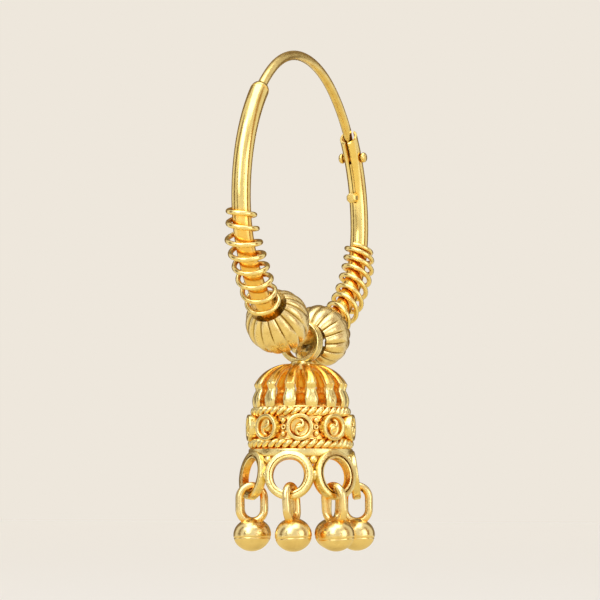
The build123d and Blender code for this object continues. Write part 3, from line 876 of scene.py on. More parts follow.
class JHUMKA_OT_tube(bpy.types.Operator):
    """Adds the hoop's tube, with its domed socket, oblique mouth, slit and notch"""

    bl_idname = "jhumka.add_tube"
    bl_label = "Add tube"

    def execute(self, context):
        sizes = read(context, "jhumka_hoop")
        outside, bore = sizes.tube_radius, sizes.tube_bore
        rings = [hoop_ring(SOCKET_TURN, SOCKET_HOLE)]
        rings.append(hoop_ring(SOCKET_TURN, SOCKET_HOLE, SOCKET_EASE - SOCKET_LENGTH))
        rings.append(hoop_ring(SOCKET_TURN, SOCKET_HOLE + SOCKET_EASE, -SOCKET_LENGTH))
        for reach, shift in arc(SOCKET_ROUND, SOCKET_POLARS, outside - SOCKET_ROUND):
            rings.append(hoop_ring(SOCKET_TURN, reach, -shift))
        rings += [hoop_ring(SOCKET_TURN, outside - dip, along) for along, dip in JOINT_LINE]
        walls = []
        for turn in spaced(WALL_START, MOUTH_TURN, WALL_RINGS)[:-1]:
            lean = smooth_step((turn - MOUTH_SLOPE_START) / (MOUTH_TURN - MOUTH_SLOPE_START))
            walls.append((turn, MOUTH_SLOPE * lean))
        rings += [hoop_ring(turn, outside, slope=slope) for turn, slope in walls]
        rings.append(hoop_ring(MOUTH_TURN, outside, -MOUTH_EASE, MOUTH_SLOPE))
        rings.append(hoop_ring(MOUTH_TURN, outside - MOUTH_EASE, 0.0, MOUTH_SLOPE))
        rings.append(hoop_ring(MOUTH_TURN, bore + BORE_EASE, 0.0, MOUTH_SLOPE))
        rings += [hoop_ring(turn, bore, slope=slope) for turn, slope in reversed(walls[1:])]
        rings.append(hoop_ring(SOCKET_TURN, bore, SOCKET_SHOULDER))
        tube = make_object("tube", ring_mesh(rings, closed=True), finish_of(context, "tube"))
        past_mouth, past_wall = MOUTH_TURN + OVERCUT_TURN, outside + OVERCUT
        for first, inner, outer, half_width in (
            (SLIT_END_TURN, -past_wall, 0, SLIT_HALF_WIDTH),
            (NOTCH_TURN, 0, past_wall, NOTCH_HALF_WIDTH),
        ):
            cut_away(tube, hoop_bar(first, past_mouth, inner, outer, half_width, ease=CUTTER_EASE))
        cut_away(tube, rod_across(PIN_TURN, PIN_HOLE, past_wall))
        settle(tube, "hoop", "hoop_tube", sharp=35)
        return {"FINISHED"}


WIRE_RINGS = 240
TIP_TURN = 226.4
TIP = ((0.17, 0.345), (0.34, 0.24), (0.44, 0.175), (0.49, 0.12), (0.50, 0.06))  # (along, radius)
TANG = ((0.0, 0.23), (1.8, 0.23), (3.6, 0.45))      # (distance from the pin, half width)
TANG_START = 0.36                       # distance from the pin at which the wire starts
EYE_OUTLINE = ((0.24, -0.23), (0.49, -0.23), (0.54, -0.18), (0.54, 0.18), (0.49, 0.23), (0.24, 0.23))
TAIL_HALF_WIDTH = 0.10
TAIL_EASE = 0.03
TAIL_BAND = (-0.86, -0.42)              # offsets of the tail's edges from the hoop's centreline
TAIL_ENDS = (KNOB_TURN - 0.8, PIN_TURN - 1.4)
NECK_END = KNOB_TURN + 0.8
NECK_BAND = (-1.2, -0.44)
KNOB_GAP = 0.05
KNOB_CORNER = 0.44                      # where its corners start, as a share of its half width
KNOB_LEVELS = ((-1.0, 0.72), (-0.72, 1.0), (0.72, 1.0), (1.0, 0.72))            # (level, width)


def stop_knob(size):
    """Eight-sided knob on the hoop's inner side, just clear of the tube."""
    half = size / 2
    corner = half * KNOB_CORNER
    outline = [(half, corner), (corner, half), (-corner, half), (-half, corner)]
    outline += [(-x, -y) for x, y in outline]
    middle = -TUBE_OUTSIDE - KNOB_GAP - half
    along, rings = forward(KNOB_TURN), []
    for level, width in KNOB_LEVELS:
        centre = hoop_point(KNOB_TURN, middle + half * level)
        rings.append([centre + along * x * width + SIDE * y * width for x, y in outline])
    return ring_mesh(rings)


class JHUMKA_OT_ear_wire(bpy.types.Operator):
    """Adds the hinged ear wire with its tang, eye, tail and stop knob"""

    bl_idname = "jhumka.add_ear_wire"
    bl_label = "Add ear wire"

    def execute(self, context):
        sizes = read(context, "jhumka_hoop")
        hinge_arc = ARCS[1][2][1]
        rings = []
        for turn in spaced(PIN_TURN + degrees(TANG_START / hinge_arc), TIP_TURN, WIRE_RINGS):
            half_width = along_table(TANG, radians(turn - PIN_TURN) * hinge_arc)[0]
            rings.append(hoop_ring(turn, sizes.wire_radius, side_limit=half_width, sides=40))
        rings += [hoop_ring(TIP_TURN, radius, along, sides=40) for along, radius in TIP]
        eye = lathe(EYE_OUTLINE, hoop_point(PIN_TURN), SIDE, outward(PIN_TURN), 40)
        tail = hoop_bar(*TAIL_ENDS, *TAIL_BAND, TAIL_HALF_WIDTH, 24, TAIL_EASE)
        neck = hoop_bar(TAIL_ENDS[0], NECK_END, *NECK_BAND, TAIL_HALF_WIDTH, 4, TAIL_EASE)
        wire = join([ring_mesh(rings), eye, tail, neck, stop_knob(sizes.knob_size)])
        piece = make_object("ear_wire_round", wire, finish_of(context, "wire"))
        settle(piece, "ear_wire", "ear_wire", sharp=30)
        return {"FINISHED"}


PIN_HALF_LENGTH = 1.45
PIN_HEAD = (
    # radius, distance in from the end
    (0, 0), (0.22, 0.01), (0.36, 0.06), (0.46, 0.15), (0.50, 0.28), (0.49, 0.38), (0.42, 0.46),
)


class JHUMKA_OT_hinge_pin(bpy.types.Operator):
    """Adds the pin that the ear wire turns on"""

    bl_idname = "jhumka.add_hinge_pin"
    bl_label = "Add hinge pin"

    def execute(self, context):
        shaft = read(context, "jhumka_hoop").pin_radius
        side = [(radius, PIN_HALF_LENGTH - depth) for radius, depth in PIN_HEAD]
        side.append((shaft, side[-1][1]))
        profile = side + [(r, -h) for r, h in reversed(side)]
        pin = lathe(profile, hoop_point(PIN_TURN), SIDE, outward(PIN_TURN), 40)
        piece = make_object("pin", pin, finish_of(context, "wire"))
        settle(piece, "hoop", "hinge_pin", sharp=50)
        return {"FINISHED"}


# ---------------------------------------------------------------- coils and fluted beads
COILS = (
    # name, start angle round the tube, lean of a winding's +Y side along the hoop,
    # rows of (turn, radius, sag, shift along Y) at each full winding
    ("coil_front", 120.0, 0.0, (
        (-84.1, 1.21, 0.03, 0.00), (-79.5, 1.24, 0.05, 0.00), (-72.1, 1.48, 0.22, 0.00),
        (-66.0, 1.50, 0.22, -0.10), (-60.0, 1.50, 0.20, -0.19), (-53.6, 1.50, 0.18, -0.20),
        (-46.7, 1.50, 0.18, -0.20), (-39.5, 1.48, 0.18, -0.10), (-34.0, 1.46, 0.18, -0.05),
    )),
    ("coil_back", 180.0, 1.85, (
        (26.6, 1.38, 0.16, 0.00), (31.2, 1.42, 0.20, 0.00), (39.8, 1.42, 0.22, 0.00),
        (48.5, 1.42, 0.22, 0.00), (57.2, 1.42, 0.22, 0.00), (64.1, 1.42, 0.18, -0.08),
        (70.0, 1.40, 0.12, -0.15), (76.0, 1.30, 0.05, -0.08), (79.8, 1.20, 0.03, 0.00),
    )),
)
COIL_TIGHTENING = 0.02                  # keeps the wobbling wire inside the frame's box
# name, hoop turn, sag, turn that the bead's axis lies along
BEADS = (("bead_front", -21.5, -0.05, -33.0), ("bead_back", 14.4, 0.42, 14.4))


def coil_line(rows, start_angle, lean, steps):
    """Centreline of a loose coil wound round the hoop."""
    points = []
    for step in range((len(rows) - 1) * steps + 1):
        winding = min(step // steps, len(rows) - 2)
        part = step / steps - winding
        ends = zip(rows[winding], rows[winding + 1])
        turn, radius, sag, shift = (first + (last - first) * part for first, last in ends)
        a = radians(start_angle - 360 * step / steps)
        turn += lean * sin(a)
        away = outward(turn) * cos(a) + SIDE * sin(a)
        points.append(hoop_point(turn, sag, shift) + away * (radius - COIL_TIGHTENING))
    return points


class JHUMKA_OT_coils(bpy.types.Operator):
    """Adds the two loose wire coils round the tube"""

    bl_idname = "jhumka.add_coils"
    bl_label = "Add coils"

    def execute(self, context):
        sizes = read(context, "jhumka_coil")
        wound = wound_wire_tree()
        for seed, (name, start, lean, rows) in enumerate(COILS, start=3):
            coil = line_object(f"{name}_wire", coil_line(rows, start, lean, sizes.steps))
            grow(coil, wound, finish_of(context, "coil"), wire_radius=sizes.wire_radius * MM,
                 sides=sizes.sides, wobble=sizes.wobble * MM, seed=float(seed))
            settle(coil, "hoop", name)
        return {"FINISHED"}


class JHUMKA_OT_beads(bpy.types.Operator):
    """Adds the two hollow fluted beads"""

    bl_idname = "jhumka.add_beads"
    bl_label = "Add fluted beads"

    def execute(self, context):
        sizes = read(context, "jhumka_bead")
        fluted = fluted_bead_tree()
        half_flute = pi / sizes.flutes
        for name, turn, sag, axis_turn in BEADS:
            bead = empty_object(f"{name}_fluted")
            grow(bead, fluted, finish_of(context, "bead"), radius=sizes.radius * MM,
                 mouth=sizes.mouth * MM, flute_depth=sizes.flute_depth * MM, flutes=sizes.flutes)
            # the inner wall and its rim take the bore finish, whose corners get painted orange
            # reflection instead of olive shade
            bead.data.materials.append(finish_of(context, "bore"))
            wall = bead.modifiers.new("wall", "SOLIDIFY")
            wall.thickness = sizes.wall * MM
            wall.offset = -1
            wall.material_offset = 1
            wall.material_offset_rim = 1
            bake_modifiers(bead)
            turned = outward(axis_turn) * cos(half_flute) + SIDE * sin(half_flute)
            axis = forward(axis_turn)
            place = Matrix((turned, axis.cross(turned), axis)).transposed().to_4x4()
            place.translation = hoop_point(turn, sag) * MM
            bead.data.transform(place)
            settle(bead, "hoop", name, sharp=50)
        return {"FINISHED"}


# ---------------------------------------------------------------- the bell
TURNED_SHARE = 0.6                      # share of the unevenness on the neater cups and eyelets


def add_round(context, name, mesh, count, first, unevenness, finish="cast", sharp=60.0):
    """Repeats a piece built on the first spoke round the bell, and settles it."""
    piece = make_object(name, mesh)
    repeat = bpy.data.node_groups.get(REPEAT_NAME) or repeat_tree()
    grow(piece, repeat, finish_of(context, finish), count=count, first_angle=radians(first),
         axis_x=BELL_X * MM, unevenness=unevenness * MM)
    settle_on_bell(piece, sharp)


def upright(outline):
    """Outline of (reach, drop) pairs as (reach, height) pairs."""
    return [(reach, -drop) for reach, drop in outline]


# sides of the crown and of the band, as (reach, drop)
CROWN = (
    (0, 2.72), (1.2, 2.72), (1.42, 2.735), (1.53, 2.80), (1.55, 2.92), (1.53, 3.22), (1.45, 3.28),
    (0, 3.28),
)
BAND = (
    (BAND_BORE, 6.78), (4.42, 6.78), (4.46, 6.86), (4.32, 6.98), (4.32, 7.56), (4.36, 7.66),
    (4.34, 7.72), (4.20, 7.74), (4.35, 9.80), (4.62, 9.82), (4.66, 9.88), (4.56, 9.98),
    (4.56, 10.56), (4.72, BAR_TOP),
    (BAR_RADIUS - 0.12, BAR_TOP + 0.01), (BAR_RADIUS - 0.03, BAR_TOP + 0.07),
    (BAR_RADIUS, BAR_TOP + 0.17), (BAR_RADIUS, BAR_BOTTOM - 0.17),
    (BAR_RADIUS - 0.03, BAR_BOTTOM - 0.07), (BAR_RADIUS - 0.12, BAR_BOTTOM),
    (BAND_BORE + 0.1, BAR_BOTTOM), (BAND_BORE, BAR_BOTTOM - 0.1),
)


class JHUMKA_OT_bell_shell(bpy.types.Operator):
    """Adds the bell's crown and its hollow band with the rim bar"""

    bl_idname = "jhumka.add_bell_shell"
    bl_label = "Add bell shell"

    def execute(self, context):
        crown = lathe(upright(CROWN), BELL_ZERO, UP, FORE, 96)
        band = lathe(upright(BAND), BELL_ZERO, UP, FORE, 240)
        settle_on_bell(make_object("bell_band", join([crown, band]), finish_of(context, "cast")), 35)
        return {"FINISHED"}


DOME_CENTRE = (1.2, 6.38)               # reach and drop of the dome arc's centre
DOME_RADIUS = 3.66
DOME_ENDS = (2.0, 62.0)                 # degrees from upright
SHOULDER = (4.43, 4.66)
WAIST = (4.28, 5.25)
LEAF = (0.22, 1.62, 0.20)               # the rib's end: reach, drop and how far it swells
RIB_WIDTHS = (
    # distance down the rib, half width, half thickness
    (0.0, 0.27, 0.20), (1.1, 0.36, 0.24), (2.6, 0.50, 0.27), (3.6, 0.54, 0.28), (4.2, 0.46, 0.27),
    (4.7, 0.56, 0.28), (5.3, 0.66, 0.29), (5.9, 0.60, 0.27), (6.3, 0.52, 0.25),
)
RIB_SIDES = 24
CREASE_DEPTH = 0.09
CREASE_START, CREASE_FULL = 1.8, 3.8    # distances down the rib


def rib_path():
    """Outer line of a rib as (reach, drop), from the crown to the upper rope."""
    line = []
    for polar in spaced(*DOME_ENDS, 37):
        across, down = DOME_RADIUS * sin(radians(polar)), DOME_RADIUS * cos(radians(polar))
        line.append((DOME_CENTRE[0] + across, DOME_CENTRE[1] - down))
    for t in spaced(0, 1, 9)[1:]:
        reach = SHOULDER[0] + (WAIST[0] - SHOULDER[0]) * smooth_step(t)
        line.append((reach, SHOULDER[1] + (WAIST[1] - SHOULDER[1]) * t))
    reach, drop, swell = LEAF
    for t in spaced(0, 1, 21)[1:]:
        line.append((WAIST[0] + reach * t + swell * sin(pi * t), WAIST[1] + drop * t))
    return line


class JHUMKA_OT_ribs(bpy.types.Operator):
    """Adds the ribs over the dome, each ending in a creased leaf on the upper rope"""

    bl_idname = "jhumka.add_ribs"
    bl_label = "Add ribs"

    def execute(self, context):
        sizes = read(context, "jhumka_bell")
        line = [spoke_point(reach, drop) for reach, drop in rib_path()]
        rings = []
        run = 0.0
        for i, place in enumerate(line):
            along = (line[min(i + 1, len(line) - 1)] - line[max(i - 1, 0)]).normalized()
            out = along.cross(SIDE)
            run += (place - line[max(i - 1, 0)]).length
            half_width, half_thick = along_table(RIB_WIDTHS, run)
            middle = place - out * half_thick
            crease = CREASE_DEPTH * smooth_step((run - CREASE_START) / (CREASE_FULL - CREASE_START))
            ring = []
            for j, a in enumerate(circle(RIB_SIDES)):
                height = half_thick * sin(a) - (crease if j == RIB_SIDES // 4 else 0.0)
                ring.append(middle + out * height + SIDE * half_width * cos(a))
            rings.append(ring)
        ribs = ring_mesh(rings)
        add_round(context, "bell_ribs", ribs, sizes.ribs, FIRST_RIB, sizes.unevenness, "dome")
        return {"FINISHED"}


ROPE_STANDOUT = 0.24                    # how far a rope stands out from its band radius


class JHUMKA_OT_ropes(bpy.types.Operator):
    """Adds the two twisted ropes round the band"""

    bl_idname = "jhumka.add_ropes"
    bl_label = "Add ropes"

    def execute(self, context):
        sizes = read(context, "jhumka_bell")
        twisted = rope_tree()
        inset = ROPE_STANDOUT - sizes.rope_strand * (1 + STRAND_FULLNESS)
        for name, (radius, drop) in (("rope_upper", UPPER_ROPE), ("rope_lower", LOWER_ROPE)):
            rope = empty_object(name)
            grow(rope, twisted, finish_of(context, "cast"), lobes=sizes.lobes,
                 ring_radius=(radius + inset) * MM, strand_radius=sizes.rope_strand * MM,
                 axis_x=BELL_X * MM, height=(BOTTOM.z - drop) * MM)
            settle_on_bell(rope)
        return {"FINISHED"}


CUP_SIDE = (
    # radius, reach from the bell's axis
    (0, 4.0), (1.26, 4.0), (1.26, 4.94), (1.25, 5.02), (1.20, 5.07), (1.09, 5.08), (0.99, 5.07),
    (0.92, 5.02), (0.90, 4.94), (0.89, 4.70), (0.84, 4.60), (0.70, 4.58), (0, 4.58),
)
CUP_BALL = (4.56, 0.46)                 # reach and radius
CURL_RADIUS = 0.34                      # of each of the S's two turns
CURL_REACH = 4.66
CURL_HEIGHT = 0.34                      # how far its middle stands above its lowest place
CURL_SPREAD = 0.81                      # distance from the cup's middle at which it lies lowest
CURL_WIRE = (0.10, 0.07)                # radius at its ends, and what its middle adds
GRANULE = (4.44, 0.62, 0.28)            # reach, distance above or below the cups' line, radius
RINGLET = (4.42, 0.17, 0.085)           # reach, radius and wire radius


def curl_mesh():
    """S-shaped wire that lies over the ball in a cup."""
    line = []
    for t in spaced(-1, 1, 33):
        half = 1 if t < 0 else -1
        turn = pi * abs(t)
        side = CURL_RADIUS * sin(turn) * half
        rise = CURL_RADIUS * (1 - cos(turn)) * half
        spread = (side * side + rise * rise) / CURL_SPREAD ** 2
        reach = CURL_REACH + CURL_HEIGHT * sqrt(max(0.0, 1 - spread))
        line.append(spoke_point(reach, CUP_DROP - rise, side))
    rings = []
    last = len(line) - 1
    for i, place in enumerate(line):
        along = (line[min(i + 1, last)] - line[max(i - 1, 0)]).normalized()
        across = along.cross(FORE).normalized()
        radius = CURL_WIRE[0] + CURL_WIRE[1] * sqrt(sin(pi * i / last))
        rings.append(wire_ring(place, along, across, radius, 12))
    return ring_mesh(rings)


class JHUMKA_OT_cups(bpy.types.Operator):
    """Adds the round cups on the band, a ball and curl in each, and the granules between them"""

    bl_idname = "jhumka.add_cups"
    bl_label = "Add cups"

    def execute(self, context):
        sizes = read(context, "jhumka_bell")
        count, uneven = sizes.cups, sizes.unevenness
        place = spoke_point(0, CUP_DROP)
        cup = lathe(CUP_SIDE, place, FORE, UP, 64)
        add_round(context, "cups", cup, count, FIRST_CUP, uneven * TURNED_SHARE)
        balls = join([ball(spoke_point(CUP_BALL[0], CUP_DROP), CUP_BALL[1], 28), curl_mesh()])
        add_round(context, "cup_balls", balls, count, FIRST_CUP, uneven)
        reach, distance, radius = GRANULE
        beads = [ball(spoke_point(reach, CUP_DROP - rise), radius, 16) for rise in (distance, -distance)]
        reach, radius, wire = RINGLET
        beads.append(lathe(arc(wire, spaced(0, 330, 12), radius, reach), place, FORE, UP, 24))
        add_round(context, "granules", join(beads), count, FIRST_CUP + 180 / count, uneven)
        return {"FINISHED"}


EYELET_SIDE = (
    # radius, distance in front of the eyelet's middle
    (EYELET_HOLE, -0.33), (1.64, -0.38), (2.18, -0.38), (EYELET_RADIUS, -0.26),
    (EYELET_RADIUS, 0.26), (2.27, 0.34), (2.20, 0.38), (1.89, 0.38), (1.85, 0.22), (1.77, 0.22),
    (1.74, 0.36), (1.64, 0.36), (EYELET_HOLE, 0.33),
)
CORNER_BEAD = (BAR_RADIUS, BAR_BOTTOM + 0.30, 0.38)             # reach, drop, radius
WAIST_BEAD = (5.28, EYELET_DROP, 0.36)
WAIST_BEAD_STRETCH = 1.3


class JHUMKA_OT_eyelets(bpy.types.Operator):
    """Adds the ring eyelets under the rim, with a granule in each corner between them"""

    bl_idname = "jhumka.add_eyelets"
    bl_label = "Add eyelets"

    def execute(self, context):
        sizes = read(context, "jhumka_bell")
        count, uneven = sizes.eyelets, sizes.unevenness
        tilt = radians(EYELET_FLARE)
        axis = Vector((cos(tilt), 0, sin(tilt)))
        middle = spoke_point(EYELET_REACH, EYELET_DROP)
        ring = lathe(EYELET_SIDE, middle, axis, axis.cross(SIDE), 96)
        add_round(context, "eyelets", ring, count, FIRST_EYELET, uneven * TURNED_SHARE, "ring", 40)
        beads = []
        for (reach, drop, radius), stretch in ((CORNER_BEAD, 1.0), (WAIST_BEAD, WAIST_BEAD_STRETCH)):
            beads.append(ball(spoke_point(reach, drop), radius, 20, stretch))
        add_round(context, "corner_granules", join(beads), count, FIRST_EYELET + 180 / count, uneven)
        return {"FINISHED"}


BAIL_CENTRE = Vector((BOTTOM.x + 0.15, 0, BOTTOM.z - 0.62))
BAIL_HALF = 0.625
BAIL_OUTSIDE = 2.05
BAIL_HOLE = 1.62
BAIL_EASE = 0.08
BAIL_HOLE_EASE = 0.04
BAIL_GROOVES = (-0.2, 0.2)
GROOVE = ((0.0, -0.09), (0.17, -0.03), (0.17, 0.03), (0.0, 0.09))       # (depth, along)
SOLDER_FOOT = (
    # reach, drop
    (0, 3.0), (1.05, 3.0), (1.08, 2.86), (0.98, 2.72), (0.93, 2.60), (0.86, 2.46), (0.70, 2.38),
    (0, 2.36),
)


class JHUMKA_OT_bail(bpy.types.Operator):
    """Adds the grooved ring that the bell hangs by, on its rough solder foot"""

    bl_idname = "jhumka.add_bail"
    bl_label = "Add bail"

    def execute(self, context):
        half, outside, hole = BAIL_HALF, BAIL_OUTSIDE, BAIL_HOLE
        edge = [(hole, half - BAIL_HOLE_EASE), (hole + BAIL_HOLE_EASE, half)]
        edge += [(outside - BAIL_EASE, half), (outside, half - BAIL_EASE)]
        side = [(radius, -along) for radius, along in edge]
        for middle in BAIL_GROOVES:
            side += [(outside - depth, middle + along) for depth, along in GROOVE]
        ring = lathe(side + edge[::-1], BAIL_CENTRE, FORE, UP, 96)
        solder = lathe(upright(SOLDER_FOOT), BELL_ZERO, UP, FORE, 60)
        settle_on_bell(make_object("bail", join([ring, solder]), finish_of(context, "ring")), 40)
        return {"FINISHED"}


LOOP_REACH = EYELET_REACH + EYELET_RADIUS * sin(radians(EYELET_FLARE)) - 0.04
LOOP_TOP = EYELET_DROP + EYELET_HOLE * cos(radians(EYELET_FLARE)) - 0.59
DROP_SLANTS = (
    # twist about its own upright line, place along the eyelet, lean along the eyelet
    (-12.0, 0.20, 4.0), (6.0, -0.35, 5.0), (0.0, 0.0, 0.0), (10.0, 0.10, 2.0),
    (-8.0, -0.35, -3.0), (12.0, -0.45, -4.0), (-22.0, 0.30, 3.0),
)
SEAM_POLAR = -12                        # degrees up from the bead's belt
SEAM_DEPTH = 0.045
LOOP_SUNK = 0.30                        # how far the loop's wire stands in the bead


def drop_bead_outline(sizes):
    """Side of a drop's flattened bead, from its lowest point to its top, with a seam round it."""
    half, width = sizes.bead_half_height, sizes.bead_radius
    cap, side = quarter_radii(width, half, 45)
    outline = [(0, -half)] + arc(cap, spaced(-90, -45, 10)[1:], 0.0, cap - half)
    for polar in spaced(-45, 45, 31)[1:]:
        seam = SEAM_DEPTH if abs(polar - SEAM_POLAR) < 1 else 0.0
        outline += arc(side, [polar], width - side - seam)
    return outline + arc(cap, spaced(45, 90, 10)[1:], 0.0, half - cap)


def drop_loop_line(bend, straight):
    """Oval line of a drop's loop round the centre of its upper bend."""
    down = [(-bend, -straight * t) for t in (0.25, 0.5, 0.75)]
    line = arc(bend, spaced(0, 180, 25)) + down
    line += arc(bend, spaced(180, 360, 25), 0.0, -straight)
    return line + [(-x, y) for x, y in reversed(down)]


class JHUMKA_OT_drops(bpy.types.Operator):
    """Adds the seven drops, each a wire loop set in a flattened round bead"""

    bl_idname = "jhumka.add_drops"
    bl_label = "Add drops"

    def execute(self, context):
        sizes = read(context, "jhumka_drop")
        bend = sizes.bend_radius
        outline = drop_bead_outline(sizes)
        loop = drop_loop_line(bend, sizes.straight)
        bead_distance = bend + sizes.straight + sizes.bead_half_height - LOOP_SUNK
        for index, (twist, shift, lean) in enumerate(DROP_SLANTS):
            spoke = FIRST_EYELET + index * 360 / len(DROP_SLANTS)
            facing, level = round_axis(spoke + twist), round_axis(spoke + twist + 90)
            upward = UP * cos(radians(lean)) - level * sin(radians(lean))
            across = facing.cross(upward)
            top = bell_point(LOOP_REACH, spoke, LOOP_TOP + bend) + round_axis(spoke + 90) * shift
            line = [top + facing * x + upward * z for x, z in loop]
            rings = []
            for i, place in enumerate(line):
                along = (line[(i + 1) % len(line)] - line[i - 1]).normalized()
                rings.append(wire_ring(place, along, across, sizes.wire_radius, 20))
            bead = lathe(outline, top - upward * bead_distance, upward, facing, 56)
            drop = join([ring_mesh(rings, closed=True), bead])
            name = f"drop_{index + 1}"
            piece = make_object(f"{name}_gilt", drop, finish_of(context, "drop"))
            settle(piece, "bell", name)
        return {"FINISHED"}


# ---------------------------------------------------------------- stage
# the shading cards show in reflections alone
UNSEEN = {"visible_camera": False, "visible_shadow": False, "visible_diffuse": False}
CARDS = (
    # name, degrees from the camera's side towards its right, distance, rise, width, height
    ("card_behind", 180, 0.16, 0.0, 0.44, 0.60),
    ("card_left", -84, 0.26, 0.0, 0.10, 0.60),
    ("card_left_thin", -44, 0.30, -0.03, 0.065, 0.44),
    ("card_right_thin", 34, 0.30, 0.0, 0.040, 0.50),
    ("card_right", 78, 0.26, 0.0, 0.10, 0.60),
)
LAMPS = (
    # name, size, watts, place as metres towards the camera, to the right and up
    ("key", (0.24, 0.30), 0.58, (0.26, -0.16, 0.20)),
    ("fill", (0.24, 0.24), 0.26, (0.22, 0.24, 0.05)),
    ("top", (0.30, 0.30), 0.6, (0.08, 0.0, 0.35)),
)
LAMP_TINT = (1.0, 0.98, 0.94)
FLOOR_SIZE = 3.0
FLOOR_ROUGHNESS = 0.9
CARD_ROUGHNESS = 0.8
MOTTLE_SCALE = 180.0
MOTTLE_TONE = 0.985                     # the darker spots, against the paint
MOTTLE_RELIEF = {"microns": 100, "strength": 0.05}
FLOOR_FADE = 0.04                       # share of the floor's own paint that is left a metre away
LOW_CARD_SIZE = 0.24
LOW_CARD_PLACE = (0.8, 0.05)            # share of the floor gap down, metres towards the camera
LENS = 165
SENSOR_WIDTH = 36
NEAREST_SEEN = 0.01


def aim(made, place, target):
    """Puts a card, lamp or camera at a place, facing a target."""
    made.location = place
    made.rotation_euler = (Vector(target) - Vector(place)).to_track_quat("-Z", "Y").to_euler()


def card(name, width, height, place, target, paint, **flags):
    """Flat card, in metres."""
    x, y = width / 2, height / 2
    data = bpy.data.meshes.new(name)
    data.from_pydata([(-x, -y, 0), (x, -y, 0), (x, y, 0), (-x, y, 0)], [], [(0, 1, 2, 3)])
    data.materials.append(paint)
    made = link_object(name, data)
    for key, value in flags.items():
        setattr(made, key, value)
    aim(made, place, target)
    made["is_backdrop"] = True


def lamp(name, size, watts, place, target):
    """Soft rectangular lamp."""
    data = bpy.data.lights.new(name, "AREA")
    data.shape = "RECTANGLE"
    data.size, data.size_y = size
    data.energy = watts
    data.color = LAMP_TINT
    made = link_object(name, data)
    aim(made, place, target)
    made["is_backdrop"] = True


def matt_paint(name, rgb, roughness, fade=None):
    """Matt paint with a faint mottle. With a fade it pales to white with distance instead: a painted
    shade, darkest at its middle, that offsets the lamps' light there.
    """
    paint = Paint(name)
    mottle = paint.noise(paint.place, MOTTLE_SCALE)
    if fade:
        reach = paint.vector_math("LENGTH", {0: paint.place}, "Value")
        near = paint.add("ShaderNodeMath", {0: fade, 1: reach}, operation="POWER")
        tone = paint.blend(near, (1, 1, 1), rgb)
    else:
        tone = paint.blend(mottle, [c * MOTTLE_TONE for c in rgb], rgb)
    return paint.finish(tone, roughness, paint.bump(mottle, **MOTTLE_RELIEF))


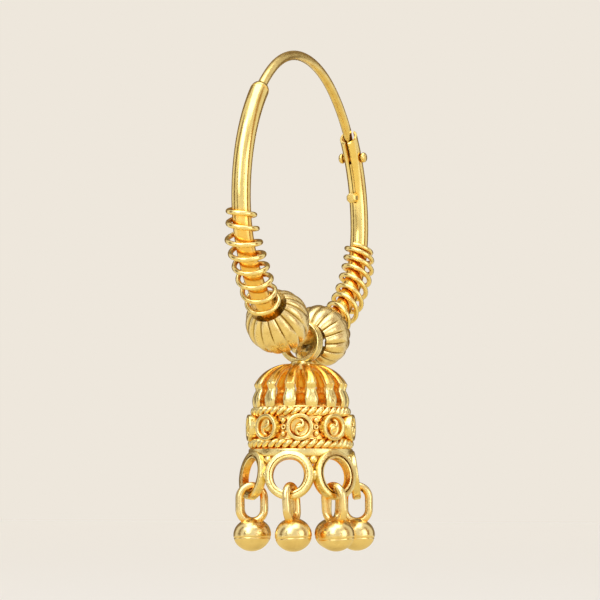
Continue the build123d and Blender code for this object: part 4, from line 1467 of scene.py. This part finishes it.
class JHUMKA_OT_stage(bpy.types.Operator):
    """Adds the backdrop, floor, lamps, shading cards and camera"""

    bl_idname = "jhumka.add_stage"
    bl_label = "Add stage"

    def execute(self, context):
        sizes = read(context, "jhumka_stage")
        scene = context.scene
        low, high = (Vector(corner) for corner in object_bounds())
        centre = (low + high) / 2
        ahead = Vector((-sin(sizes.camera_turn), cos(sizes.camera_turn), 0))
        right = Vector((ahead.y, -ahead.x, 0))
        lowest = Vector((centre.x, centre.y, low.z))

        scene.world = bpy.data.worlds.new("backdrop")
        scene.world.use_nodes = True
        scene.world.node_tree.nodes["Background"].inputs["Color"].default_value = (*sizes.backdrop, 1)

        gap = UP * sizes.floor_gap * MM
        # painted shade: the floor is painted darkest under the earring, where the lamps light it most,
        # and pales to white far off
        paint = matt_paint("floor_paint", sizes.floor, FLOOR_ROUGHNESS, FLOOR_FADE)
        card("floor", FLOOR_SIZE, FLOOR_SIZE, lowest - gap, lowest + UP, paint)
        dark = matt_paint("card_paint", sizes.card, CARD_ROUGHNESS)
        warm = matt_paint("warm_card_paint", sizes.card_warm, CARD_ROUGHNESS)
        for name, turn, distance, rise, width, height in CARDS:
            across = radians(turn)
            place = centre + (right * sin(across) - ahead * cos(across)) * distance + UP * rise
            paint = warm if "right" in name else dark
            card(name, width, height, place, centre + UP * rise, paint, **UNSEEN)
        down, nearer = LOW_CARD_PLACE
        place = lowest - gap * down - ahead * nearer
        paint = matt_paint("low_card_paint", sizes.card_below, CARD_ROUGHNESS)
        card("card_below", LOW_CARD_SIZE, LOW_CARD_SIZE, place, place + UP, paint, **UNSEEN)
        for name, size, watts, (near, rightwards, rise) in LAMPS:
            lamp(name, size, watts, centre - ahead * near + right * rightwards + UP * rise, centre)

        data = bpy.data.cameras.new("camera")
        data.lens = LENS
        data.sensor_width = SENSOR_WIDTH
        data.clip_start = NEAREST_SEEN
        scene.camera = link_object("camera", data)
        place = centre - ahead * sizes.camera_distance * MM
        place.z = sizes.camera_height * MM
        aim(scene.camera, place, centre)
        scene.view_settings.view_transform = "Standard"
        return {"FINISHED"}


# ---------------------------------------------------------------- add-on
STEPS = (
    JHUMKA_OT_tube, JHUMKA_OT_ear_wire, JHUMKA_OT_hinge_pin, JHUMKA_OT_coils, JHUMKA_OT_beads,
    JHUMKA_OT_bell_shell, JHUMKA_OT_ribs, JHUMKA_OT_ropes, JHUMKA_OT_cups, JHUMKA_OT_eyelets,
    JHUMKA_OT_bail, JHUMKA_OT_drops, JHUMKA_OT_stage,
)


class JHUMKA_PT_panel(bpy.types.Panel):
    """Lists the earring's steps in the sidebar"""

    bl_idname = "JHUMKA_PT_panel"
    bl_label = "Jhumka hoop earring"
    bl_space_type = "VIEW_3D"
    bl_region_type = "UI"
    bl_category = "Jhumka"

    def draw(self, context):
        for step in STEPS:
            self.layout.operator(step.bl_idname)


def register():
    for made in (*SETTINGS.values(), *STEPS, JHUMKA_PT_panel):
        bpy.utils.register_class(made)
    for key, group in SETTINGS.items():
        setattr(bpy.types.Scene, key, bpy.props.PointerProperty(type=group))


def unregister():
    for key in SETTINGS:
        delattr(bpy.types.Scene, key)
    for made in reversed((*SETTINGS.values(), *STEPS, JHUMKA_PT_panel)):
        bpy.utils.unregister_class(made)


def main():
    """Builds every piece and the stage."""
    register()
    for step in STEPS:
        getattr(bpy.ops.jhumka, step.bl_idname.split(".")[1])()


if __name__ == "__main__":
    main()
